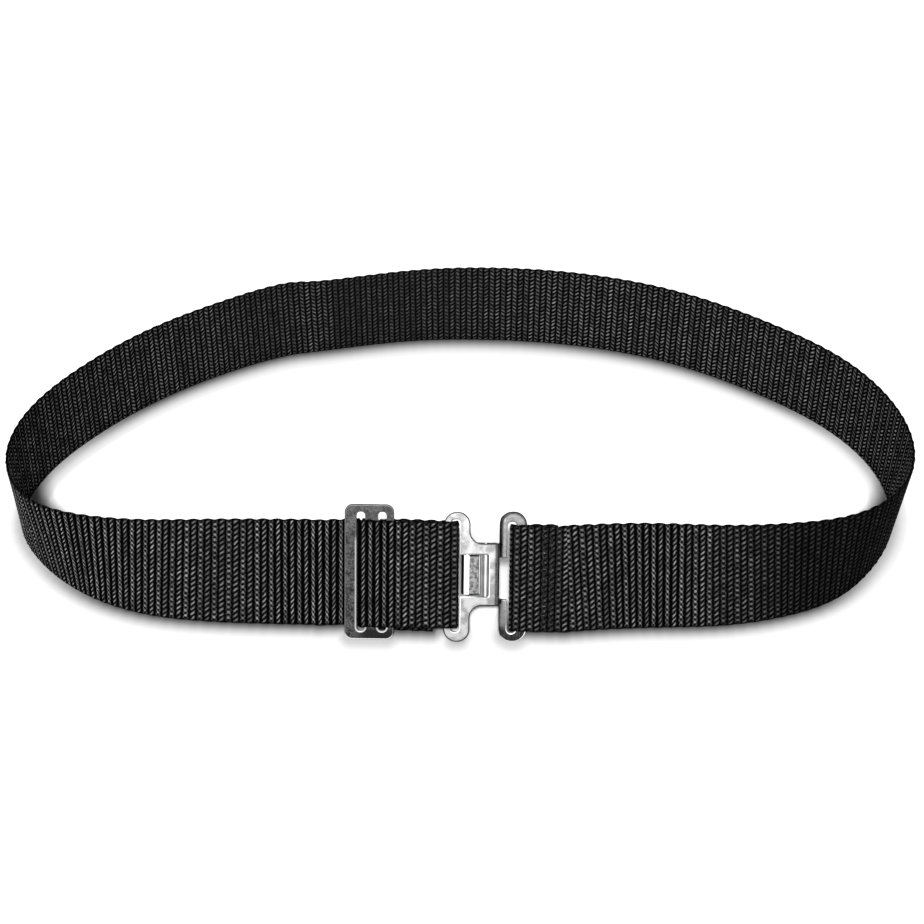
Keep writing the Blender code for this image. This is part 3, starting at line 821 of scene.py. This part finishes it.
def inside(points, loops):
    """Whether each point is in the metal that the loops bound."""
    odd = np.zeros(len(points), bool)
    for loop in loops:
        for (ax, ay), (bx, by) in zip(loop, np.roll(loop, -1, axis=0)):
            crosses = (ay > points[:, 1]) != (by > points[:, 1])
            level = (points[:, 1] - ay) / np.where(crosses, by - ay, 1)
            odd ^= crosses & (points[:, 0] < ax + level * (bx - ax))
    return odd


def near(points, loops, distance):
    """Whether each point is closer than a distance to a corner of the loops."""
    corners = np.vstack(loops)
    return np.array([np.min(np.linalg.norm(corners - point, axis=1)) < distance for point in points], bool)


def pressed_sheet(name, outline, holes, thickness, rim, route=flat_route, stations=()):
    """A sheet cut flat, its edges rounded over, then bent along its route.

    Its number "rim" is 1 on the outer edge and -1 in the openings, and "underside" is 1 on its back.
    """
    loops = [loop_with_stations(outline, stations, True)]
    loops += [loop_with_stations(hole, stations, False) for hole in holes]
    arc = [math.radians(angle) for angle in EDGE_ANGLES]
    insets = [(rim * RIM_REACH, thickness / 2, 0.0)]
    for a in arc:
        sunk = thickness / 2 - rim * (1 - math.cos(a))
        insets.append((rim * (1 - math.sin(a)), sunk, 0.5 + math.sin(a) / 2))
    levels = insets + [(inset, -height, edge) for inset, height, edge in insets[::-1]]
    margins = [shrunk(loop, insets[0][0]) for loop in loops]
    ups = np.arange(np.min(margins[0][:, 1]), np.max(margins[0][:, 1]), BEND_SPACING)
    grid = np.array([(s, up) for s in stations for up in ups]).reshape(-1, 2)
    if len(grid):
        grid = grid[inside(grid, margins) & ~near(grid, margins, BEND_MARGIN)]
    flat = np.vstack([*margins, grid])
    borders = []
    start = 0
    for loop in margins:
        borders += [(start + k, start + (k + 1) % len(loop)) for k in range(len(loop))]
        start += len(loop)
    cut = delaunay_2d_cdt([Vector(point) for point in flat / MM], borders, [], 0, 1e-5)
    source = [origin[0] for origin in cut[3]]
    triangles = np.array([[source[corner] for corner in face] for face in cut[2]])
    triangles = triangles[inside(flat[triangles].mean(axis=1), margins)]

    places, heights, edges = [], [], []
    for inset, height, edge_amount in levels:
        rings_here = [shrunk(loop, inset) for loop in loops]
        sides = [np.full(len(loop), 1.0 if k == 0 else -1.0) for k, loop in enumerate(rings_here)]
        ring = np.vstack(rings_here)
        places.append(ring)
        heights.append(np.full(len(ring), height))
        edges.append(np.concatenate(sides) * edge_amount)
    for height in (thickness / 2, -thickness / 2):
        places.append(grid)
        heights.append(np.full(len(grid), height))
        edges.append(np.zeros(len(grid)))
    places, heights, edges = np.vstack(places), np.concatenate(heights), np.concatenate(edges)
    along, out, lean_along, lean_out = route(places[:, 0])
    solid = np.column_stack([along + lean_along * heights, places[:, 1], out + lean_out * heights])
    turn = np.array(PANEL)
    solid = solid @ turn[:3, :3].T + turn[:3, 3]

    ring_size = len(flat) - len(grid)
    last = ring_size * (len(levels) - 1)
    grid_start = ring_size * len(levels)
    top = np.where(triangles < ring_size, triangles, triangles - ring_size + grid_start)
    bottom = np.where(triangles < ring_size, triangles + last, triangles - ring_size + grid_start + len(grid))
    faces = top.tolist() + bottom[:, ::-1].tolist()
    for a, b in borders:
        for level in range(len(levels) - 1):
            low, high = level * ring_size, (level + 1) * ring_size
            faces.append((low + a, high + a, high + b, low + b))
    mesh = bpy.data.meshes.new(name)
    mesh.from_pydata(solid.tolist(), [], faces)
    give(mesh, "rim", edges)
    give(mesh, "underside", (heights < 0).astype(float))
    mesh.shade_smooth()
    return in_scene(name, mesh)


def blackened_steel():
    """Oxide-black steel: grainy, cloudy, worn edges; painted highlight on rim underside, painted shade at
    foot.
    """
    shade, surface, material = new_material("dark_oxide_steel")
    place = shade.node("ShaderNodeTexCoord", output=3)
    sideways, height = place.part(0), place.part(2)
    edge = shade.given("rim")
    lowered = -shade.node("ShaderNodeNewGeometry", output=1).dot(PANEL_UP)

    # Bright: a painted highlight along the rim's underside, and the slots' edges below the slide's head,
    # rubbed bright
    rubbed_and_painted_highlight = edge.rise(0.3, 0.6) * lowered.rise(0.1, 0.4)
    rubbed_and_painted_highlight = rubbed_and_painted_highlight + 0.45 * (-edge).rise(0.1, 0.4) * height.rise(44 * MM, 40 * MM)
    # Worn: the shoulders of every edge, in chips
    chipped = (shade.noise(place, 600.0, 3.0) - 0.5) * 0.25
    worn = (edge.math("ABSOLUTE") + chipped).rise(0.42, 0.7) * (1 - edge.rise(0.75, 0.95))
    grain = shade.noise(place, 1300.0, 3.0).rise(0.38, 0.66)
    cloud = shade.noise(place, 260.0, 3.0).rise(0.35, 0.68)
    # Painted shade: darker at the foot, except at the left end; painted light: lighter on the head
    foot = height.rise(6.5 * MM, 4.5 * MM) * sideways.rise(-50 * MM, -44 * MM)
    painted_light_on_head = height.rise(38 * MM, 50 * MM)
    tone = (grain * 0.62 + cloud * 0.38) * (1 - 0.95 * foot) + 0.16 * painted_light_on_head
    oxide = tone.mix(grey(OXIDE_DARK), grey(OXIDE_LIGHT))
    chipped_oxide = worn.mix(oxide, grey(OXIDE_WORN), clamped=True)
    feed(
        surface,
        {
            "Base Color": rubbed_and_painted_highlight.mix(chipped_oxide, grey(OXIDE_RUBBED_AND_PAINTED_HIGHLIGHT), clamped=True),
            "Metallic": 0.6 - 0.3 * worn - 0.3 * rubbed_and_painted_highlight,
            "Roughness": 0.5 - 0.1 * worn + 0.12 * (grain - 0.5),
            "Specular IOR Level": 0.1,
            "Normal": (grain * (1 - worn)).bump(0.35, 0.06 * MM),
        },
    )
    return material


slide_right = SLIDE_LEFT + SLIDE_OUTER_BAR + SLIDE_MIDDLE_BAR + SLIDE_INNER_BAR + 2 * SLIDE_SLOT
slide = pressed_sheet(
    "slide_plate",
    box_outline(SLIDE_LEFT, slide_right, SLIDE_BOTTOM, SLIDE_TOP, SLIDE_CORNER),
    [
        box_outline(left, left + SLIDE_SLOT, SLIDE_SLOT_BOTTOM, SLIDE_SLOT_TOP, SLIDE_SLOT * SLOT_ROUNDING)
        for left in (left_slot, right_slot)
    ],
    SLIDE_THICKNESS,
    SLIDE_RIM,
)
slide.data.materials.append(blackened_steel())
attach(slide, "root")
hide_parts("slide_adjuster")

# Catch, the front half of the buckle: sheet steel, plated and satin, stamped with a slot for the webbing
# and a window, and folded back on itself at its right end so that the hook can hold on to the fold.
SHEET_STEP = SHEET + GAP
SHEET_RIM = 0.42 * MM
RING_WIDTH = 12.7 * MM
RING_CORNER = 6.3 * MM
CATCH_RING_WIDTH = 12.3 * MM
CATCH_RING_CORNER = 6.1 * MM
RING_TOP = 56.2 * MM
BOX_TOP = 41.2 * MM
BOX_BOTTOM = 11.8 * MM
BOX_FILLET = 6.0 * MM
CATCH_LEFT = -8.8 * MM
CATCH_RIGHT = 17.3 * MM
CATCH_BOTTOM = -5.7 * MM
CATCH_SLOT_TOP = 52.6 * MM
CATCH_SLOT_BOTTOM = -0.9 * MM
CATCH_WINDOW_RIGHT = 12.4 * MM
CATCH_WINDOW_TOP = 36.2 * MM
CATCH_WINDOW_BOTTOM = 16.0 * MM
CATCH_LIP_END = 2.6 * MM
CATCH_BOX_CORNER = 1.2 * MM
CATCH_WINDOW_CORNER = 0.8 * MM
FOLD_STEP = math.radians(12)
# Greys of the plating: painted shade along the edges, and a painted highlight
EDGE_PAINTED_SHADE_GREY = 0.015
PAINTED_HIGHLIGHT_GREY = 0.95
fold_start = CATCH_RIGHT - SHEET / 2 - SHEET_STEP
fold_length = math.pi * SHEET_STEP


def catch_route(places):
    """Flat at the front, half a turn at the fold, then flat again behind."""
    angle = np.clip((places - fold_start) / SHEET_STEP, 0, math.pi)
    beyond = np.maximum(places - fold_start - fold_length, 0)
    along = np.minimum(places, fold_start) + SHEET_STEP * np.sin(angle) - beyond
    out = CATCH_OUT - SHEET_STEP * (1 - np.cos(angle))
    return along, out, np.sin(angle), np.cos(angle)


def along_panel(place, axis):
    """Where a place lies on the panel: axis 0 gives how far right, and 1 how far up."""
    direction = PANEL.to_3x3().col[axis]
    return place.dot(tuple(direction)) - PANEL.translation.dot(direction)


def plate_values(shade):
    """What the marks on a plate go by: places, which way the surface faces, its edges, and noise."""
    place = shade.node("ShaderNodeTexCoord", output=3)
    facing = shade.node("ShaderNodeNewGeometry", output=1)
    return SimpleNamespace(
        shade=shade,
        place=place,
        along=along_panel(place, 0),
        above=along_panel(place, 1),
        height=place.part(2),
        turned=facing.dot(PANEL_RIGHT),
        raised=facing.dot(PANEL_UP),
        edge=shade.given("rim"),
        underside=shade.given("underside"),
        cloud=shade.noise(place, 260.0, 4.0).rise(0.36, 0.66),
        pits=shade.noise(place, 1500.0, 3.0).rise(0.35, 0.65),
    )


def plated_steel(name, light, dark, roughness, marks):
    """Satin plating over steel: clouds and pits, with painted shade in near-black along the edges.

    marks() gives the piece's own marks: darker face, painted highlights, painted shade on edges and on faces.
    """
    shade, surface, material = new_material(name)
    on = plate_values(shade)
    darker_face, painted_light, edge_painted_shade, painted_shade = marks(on)
    streaks = shade.noise(on.place.part(0), 900.0, 2.0, "1D").rise(0.35, 0.65)
    face = darker_face.mix(grey(light), grey(dark))
    # Painted shade in a streaked dark grey and in near-black along the edges; painted highlights in pale grey
    inner = streaks.mix(grey(dark * 0.1), grey(dark * 0.4))
    edged = edge_painted_shade.mix(painted_shade.mix(face, inner, clamped=True), grey(EDGE_PAINTED_SHADE_GREY), clamped=True)
    flat = 1 - on.turned.rise(0.005, 0.03)
    feed(
        surface,
        {
            "Base Color": painted_light.mix(edged, grey(PAINTED_HIGHLIGHT_GREY), clamped=True),
            "Metallic": 1.0 - 0.7 * painted_light,
            "Roughness": roughness + 0.1 * on.cloud + 0.3 * edge_painted_shade + 0.1 * on.underside,
            "Normal": ((on.pits + on.cloud * 0.5) * flat).bump(0.2, 0.03 * MM),
        },
    )
    return material


def catch_marks(on):
    """Cloudy low down; painted shade on and inside its fold, along sills and rim; painted highlights on
    edges.
    """
    opening = -on.edge
    low = on.height.rise(38 * MM, 12 * MM) * on.height.rise(1.5 * MM, 6 * MM)
    darker_face = on.cloud * 0.5 * low + on.pits * 0.2
    # Painted highlights: a streak in the fold, and the opening's edges that face left
    painted_fold_highlight = 0.4 * on.underside * on.along.band(10.2 * MM, 10.5 * MM, 11.0 * MM, 11.3 * MM)
    painted_light = painted_fold_highlight + opening.rise(0.1, 0.4) * (-on.turned).rise(0.1, 0.4)
    # Painted shade along the opening's sills and the rim, less where the rim faces up
    sill = opening.rise(0.02, 0.3) * on.raised.rise(0.0, 0.1) * (0.28 + 0.42 * on.above.rise(2 * MM, 8 * MM))
    edge_painted_shade = on.edge.rise(0.1, 0.4) * (1 - 0.7 * on.raised.rise(0.2, 0.6)) + sill
    # Painted shade on faces turned right, round the fold, and on the underside inside it
    fold = 0.85 * on.turned.rise(0.35, 0.7)
    return darker_face, painted_light, edge_painted_shade, 0.95 * fold.math("MAXIMUM", on.underside)


ring_right = CATCH_LEFT + CATCH_RING_WIDTH
lip_end = fold_start + fold_length + fold_start - CATCH_LIP_END
catch_slot_right = CATCH_SLOT_LEFT + RING_SLOT
slot_round = RING_SLOT * SLOT_ROUNDING
# The slot and the window are one opening, so its edge runs round both
catch_opening = rounded(
    (
        (CATCH_SLOT_LEFT, CATCH_SLOT_TOP, slot_round),
        (CATCH_SLOT_LEFT, CATCH_SLOT_BOTTOM, slot_round),
        (catch_slot_right, CATCH_SLOT_BOTTOM, slot_round),
        (catch_slot_right, CATCH_WINDOW_BOTTOM, 0),
        (CATCH_WINDOW_RIGHT, CATCH_WINDOW_BOTTOM, CATCH_WINDOW_CORNER),
        (CATCH_WINDOW_RIGHT, CATCH_WINDOW_TOP, CATCH_WINDOW_CORNER),
        (catch_slot_right, CATCH_WINDOW_TOP, 0),
        (catch_slot_right, CATCH_SLOT_TOP, slot_round),
    ),
    True,
)
catch_outline = rounded(
    (
        (CATCH_LEFT, RING_TOP, CATCH_RING_CORNER),
        (CATCH_LEFT, CATCH_BOTTOM, CATCH_RING_CORNER),
        (ring_right, CATCH_BOTTOM, CATCH_RING_CORNER),
        (ring_right, BOX_BOTTOM, BOX_FILLET),
        (lip_end, BOX_BOTTOM, CATCH_BOX_CORNER),
        (lip_end, BOX_TOP, CATCH_BOX_CORNER),
        (ring_right, BOX_TOP, BOX_FILLET),
        (ring_right, RING_TOP, CATCH_RING_CORNER),
    ),
    True,
)
fold_stations = np.linspace(fold_start, fold_start + fold_length, round(math.pi / FOLD_STEP) + 1)
catch = pressed_sheet(
    "catch_plate", catch_outline, [catch_opening], SHEET, SHEET_RIM, catch_route, fold_stations
)
catch.data.materials.append(plated_steel("bright_steel", 0.38, 0.33, 0.26, catch_marks))
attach(catch, "root")
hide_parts("buckle_catch")

# Hook, the rear half: the same sheet and ring, greyer. Its tongue passes behind the catch's fold, turns
# forward and back to the right inside the window, and the plate steps forward to its own ring.
HOOK_LEFT = -0.7 * MM
HOOK_RING_LEFT = 17.4 * MM
HOOK_BOX_LEFT = 9.0 * MM
HOOK_BOX_TOP = 40.3 * MM
HOOK_TONGUE_TOP = 35.4 * MM
HOOK_TONGUE_BOTTOM = 16.6 * MM
HOOK_LIP_END = 8.0 * MM
HOOK_WINDOW_LEFT = 10.5 * MM
HOOK_WINDOW_TOP = 34.1 * MM
HOOK_WINDOW_BOTTOM = 14.4 * MM
HOOK_SLOT_TOP = 51.4 * MM
HOOK_SLOT_BOTTOM = -1.8 * MM
HOOK_CORNER = 1.5 * MM
TONGUE_CORNER = 1.0 * MM
HOOK_WINDOW_CORNER = 1.2 * MM
HOOK_RUN_ON = 5 * MM
hook_back_out = CATCH_OUT - 3 * SHEET_STEP
hook_lip_out = CATCH_OUT - SHEET_STEP
hook_ring_right = HOOK_RING_LEFT + RING_WIDTH
hook_bend = HOOK_LEFT + SHEET / 2
step_start = CATCH_RIGHT - SHEET / 2 - SHEET_STEP + 2 * SHEET_STEP * math.tan(math.pi / 8)
hook_line = np.array(
    rounded(
        (
            (HOOK_LIP_END, hook_lip_out, 0),
            (hook_bend, hook_lip_out, SHEET_STEP),
            (hook_bend, hook_back_out, SHEET_STEP),
            (step_start, hook_back_out, 2 * SHEET_STEP),
            (step_start - hook_back_out, 0, HOOK_CORNER),
            (hook_ring_right + HOOK_RUN_ON, 0, 0),
        ),
        False,
    )
)
hook_run = np.cumsum([0.0, *np.linalg.norm(np.diff(hook_line, axis=0), axis=1)])
hook_travel = travel_along(hook_line)


def hook_route(places):
    """Along the bent line from the lip's end, round the fold and up the step."""
    along, out, travel_a, travel_o = (
        np.interp(places, hook_run, column) for column in (*hook_line.T, *hook_travel.T)
    )
    size = np.hypot(travel_a, travel_o)
    return along, out, -travel_o / size, travel_a / size


def developed(along):
    """Place on the flat sheet of a place along the bent hook, behind its fold."""
    fold = np.argmin(hook_line[:, 0])
    return float(np.interp(along, hook_line[fold:, 0], hook_run[fold:]))


bends = np.abs(np.diff(np.unwrap(np.arctan2(hook_travel[:, 1], hook_travel[:, 0])))) > 1e-4
hook_stations = sorted({float(s) for s in np.concatenate([hook_run[:-1][bends], hook_run[1:][bends]])})
ring_left_s, ring_right_s = developed(HOOK_RING_LEFT), developed(hook_ring_right)
slot_left_s, slot_right_s = developed(HOOK_SLOT_LEFT), developed(HOOK_SLOT_LEFT + RING_SLOT)
box_left_s, window_left_s = developed(HOOK_BOX_LEFT), developed(HOOK_WINDOW_LEFT)
hook_outline = rounded(
    (
        (ring_right_s, RING_TOP, RING_CORNER),
        (ring_left_s, RING_TOP, RING_CORNER),
        (ring_left_s, HOOK_BOX_TOP, HOOK_CORNER),
        (box_left_s, HOOK_BOX_TOP, HOOK_CORNER),
        (box_left_s, HOOK_TONGUE_TOP, HOOK_CORNER),
        (0, HOOK_TONGUE_TOP, TONGUE_CORNER),
        (0, HOOK_TONGUE_BOTTOM, TONGUE_CORNER),
        (box_left_s, HOOK_TONGUE_BOTTOM, HOOK_CORNER),
        (box_left_s, BOX_BOTTOM, HOOK_CORNER),
        (ring_left_s, BOX_BOTTOM, HOOK_CORNER),
        (ring_left_s, HOOK_BOTTOM, RING_CORNER),
        (ring_right_s, HOOK_BOTTOM, RING_CORNER),
    ),
    True,
)
hook_opening = rounded(
    (
        (slot_right_s, HOOK_SLOT_TOP, slot_round),
        (slot_left_s, HOOK_SLOT_TOP, slot_round),
        (slot_left_s, HOOK_WINDOW_TOP, 0),
        (window_left_s, HOOK_WINDOW_TOP, HOOK_WINDOW_CORNER),
        (window_left_s, HOOK_WINDOW_BOTTOM, HOOK_WINDOW_CORNER),
        (slot_left_s, HOOK_WINDOW_BOTTOM, 0),
        (slot_left_s, HOOK_SLOT_BOTTOM, slot_round),
        (slot_right_s, HOOK_SLOT_BOTTOM, slot_round),
    ),
    True,
)


def hook_marks(on):
    """Mottled on its lip; painted shade at foot, back, tongue end, crown and edges; painted highlights where
    it bends.
    """
    lip = on.along.band(2.8 * MM, 3.3 * MM, 8.3 * MM, 8.6 * MM) * on.underside
    mottled = on.shade.noise(on.place, 650.0, 3.0).rise(0.4, 0.6)
    darker_face = mottled * (0.2 + 0.35 * lip) + on.cloud * 0.5 + on.pits * 0.2 + 0.28 * lip

    # Painted highlights: the fold's rounded end, the lip's end, the step, edges at the foot or facing right
    foot = on.height.rise(10 * MM, 4.5 * MM)
    rounded_end = on.along.band(0.55 * MM, 0.85 * MM, 2.8 * MM, 3.2 * MM)
    lip_edge = 0.6 * on.along.band(7.6 * MM, 7.8 * MM, 8.25 * MM, 8.4 * MM)
    window = (HOOK_WINDOW_BOTTOM, HOOK_WINDOW_TOP)
    beside_window = on.above.band(*(height + play * MM for height in window for play in (-0.5, 0.5)))
    step = (-on.turned).rise(0.3, 0.6) * on.along.rise(10 * MM, 12 * MM) * beside_window
    edge_painted_highlight = on.edge.math("ABSOLUTE").rise(0.3, 0.7) * (foot + on.turned.rise(0.3, 0.7)) * 0.6
    painted_light = (rounded_end + lip_edge + step + edge_painted_highlight).rise(0.0, 1.0)

    # Painted shade on the crown, a band along the ring's outer edge from half way up: a distance from the
    # ring's middle
    aside = on.along - (HOOK_RING_LEFT + RING_WIDTH / 2)
    beyond = (on.above - (RING_TOP - RING_CORNER)).math("MAXIMUM", 0.0)
    from_middle = (aside * aside + beyond * beyond).math("SQRT")
    crown = from_middle.rise(4.7 * MM, 5.5 * MM) * on.above.rise(36 * MM, 41 * MM) * (1 - on.underside)
    # Painted shade: at the foot, on the back, at the tongue's end and on the crown
    tongue_end = on.along.rise(0.8 * MM, 0.5 * MM)
    painted_shade = 0.9 * foot + 0.25 * on.underside + 0.95 * tongue_end + 0.75 * crown
    # Painted shade along the edges, half as much round the openings, none under the painted highlights
    edge_painted_shade = on.edge.rise(0.1, 0.4) + 0.5 * (-on.edge).rise(0.3, 0.7)
    return darker_face, painted_light, edge_painted_shade * (1 - painted_light), painted_shade.rise(0, 1) * (1 - painted_light)


hook = pressed_sheet("hook_plate", hook_outline, [hook_opening], SHEET, SHEET_RIM, hook_route, hook_stations)
hook.data.materials.append(plated_steel("grey_steel", 0.34, 0.12, 0.24, hook_marks))
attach(hook, "root")
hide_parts("buckle_hook")

# Floor, light and camera: a white table under one far softbox in front of it, with a soft glow from the
# front and the left. A painted shadow darkens the table softly along the belt's foot, in a band whose width
# looks the same to the camera all round.
FLOOR_CELL = 2 * MM
CELLS_ASIDE = 135
CELLS_DEEP = 85
FLOOR_END = 4.0
FLOOR_LEVEL = -0.05 * MM
WEB_FOOT_HEIGHT = 6.5 * MM
PLATE_FOOT_HEIGHT = 2 * MM
FAINT_LIFT = 3.2 * MM
TURN_START = 170 * MM
TURN_REACH = 40 * MM
VIEW_SQUEEZE = 0.64
SHADE_WIDENING = 1.3
PLACES_PER_EDGE = 9


def corner_places(name):
    mesh = bpy.data.objects[name].data
    places = np.empty(len(mesh.vertices) * 3)
    mesh.vertices.foreach_get("co", places)
    return places.reshape(-1, 3)


def edge_places(name):
    """Places along every edge of a piece, for plates, whose straight edges have corners only at the ends."""
    corners = corner_places(name)
    pairs = np.array([tuple(edge.vertices) for edge in bpy.data.objects[name].data.edges])
    starts, ends = corners[pairs[:, 0]], corners[pairs[:, 1]]
    return np.concatenate([starts + (ends - starts) * share for share in np.linspace(0, 1, PLACES_PER_EDGE)])


def squeezed_foot(places, limit, lift):
    """The places below the limit as points on the floor, squeezed as the camera's slant squeezes it.

    What is above the floor puts its painted shadow a little behind itself, as from a light in front. The
    lift adds to a point's distance from every place on the floor, and so makes its painted shadow fainter.
    """
    low = places[:, 2] < limit
    x, y, z = places[low].T
    return np.column_stack([x, (y + z) * VIEW_SQUEEZE, np.broadcast_to(lift, len(places))[low]])


web_places = np.concatenate([corner_places(name) for name in WEBBING_PIECES])
plate_places = np.concatenate([edge_places(name) for name in ("slide_plate", "catch_plate", "hook_plate")])
turning = np.clip((abs(web_places[:, 0]) - TURN_START) / TURN_REACH, 0, 1)
foot = np.concatenate(
    [
        squeezed_foot(web_places, WEB_FOOT_HEIGHT, FAINT_LIFT * turning),
        squeezed_foot(plate_places, PLATE_FOOT_HEIGHT, FAINT_LIFT),
    ]
)
foot_tree = kdtree.KDTree(len(foot))
for index, place in enumerate(foot):
    foot_tree.insert(place, index)
foot_tree.balance()
floor_x, floor_y = (
    np.concatenate([[-FLOOR_END], np.arange(-count, count + 1) * FLOOR_CELL, [FLOOR_END]])
    for count in (CELLS_ASIDE, CELLS_DEEP)
)
flat_x, flat_y = (values.ravel() for values in np.meshgrid(floor_x, floor_y))
floor_points = np.column_stack([flat_x, flat_y, np.full(len(flat_x), FLOOR_LEVEL)])
# Farther from the camera the same clearance looks smaller, so the painted shadow widens there to match
distances = [foot_tree.find((x, y * VIEW_SQUEEZE, 0))[2] for x, y in zip(flat_x, flat_y)]
clearance = np.clip(distances * (1 - SHADE_WIDENING * flat_y), 0, 1)
first_corners = (np.arange(len(floor_y) - 1)[:, None] * len(floor_x) + np.arange(len(floor_x) - 1)).ravel()
floor_quads = first_corners[:, None] + np.array([0, 1, len(floor_x) + 1, len(floor_x)])
floor = quad_mesh("floor", floor_points, floor_quads, "plan", floor_points[floor_quads.ravel(), :2])
give(floor.data, "clearance", clearance)
shade, surface, floor_material = new_material("floor_painted_shadow")
clear = shade.given("clearance")
# Painted shadow: the floor's grey falls towards black near the belt's foot
tone = clear.rise(-1.7 * MM, 8.2 * MM) * 0.667 + clear.rise(7.5 * MM, 12 * MM) * 0.333
feed(surface, {"Base Color": tone.mix(grey(0.0), grey(0.86)), "Roughness": 0.9, "Specular IOR Level": 0.0})
floor.data.materials.append(floor_material)

world = bpy.data.worlds.new("soft_room")
world.use_nodes = True
bpy.context.scene.world = world
direction = Shade(world.node_tree).node("ShaderNodeTexCoord")
front_glow = direction.dot((-0.25, -0.6, 0.76)).rise(0.7, 1.05)
left_glow = direction.dot((-0.92, -0.3, 0.25)).rise(0.6, 1.0)
room_light = (front_glow * 1.6 + left_glow * 0.8 + 0.05).mix(grey(0.0), grey(1.0))
feed(world.node_tree.nodes["Background"], {"Color": room_light})

SOFTBOX_PLACE = Vector((-0.1, -4.05, 4.25))
softbox = bpy.data.lights.new("softbox_front", "AREA")
softbox.shape = "RECTANGLE"
softbox.size = 0.9
softbox.size_y = 0.5
softbox.energy = 640.0
softbox_stand = in_scene("softbox_front", softbox)
softbox_stand.location = SOFTBOX_PLACE
softbox_stand.rotation_euler = (-SOFTBOX_PLACE).to_track_quat("-Z", "Y").to_euler()

CAMERA_PLACE = (1.5 * MM, -630.85 * MM, 521.9 * MM)
CAMERA_DOWN = math.radians(39.17)
lens = bpy.data.cameras.new("camera")
lens.lens = 59.49
lens.sensor_width = 36.0
camera = in_scene("camera", lens)
camera.location = CAMERA_PLACE
camera.rotation_euler = (math.pi / 2 - CAMERA_DOWN, 0, 0)
bpy.context.scene.camera = camera
bpy.context.scene.view_settings.view_transform = "Standard"
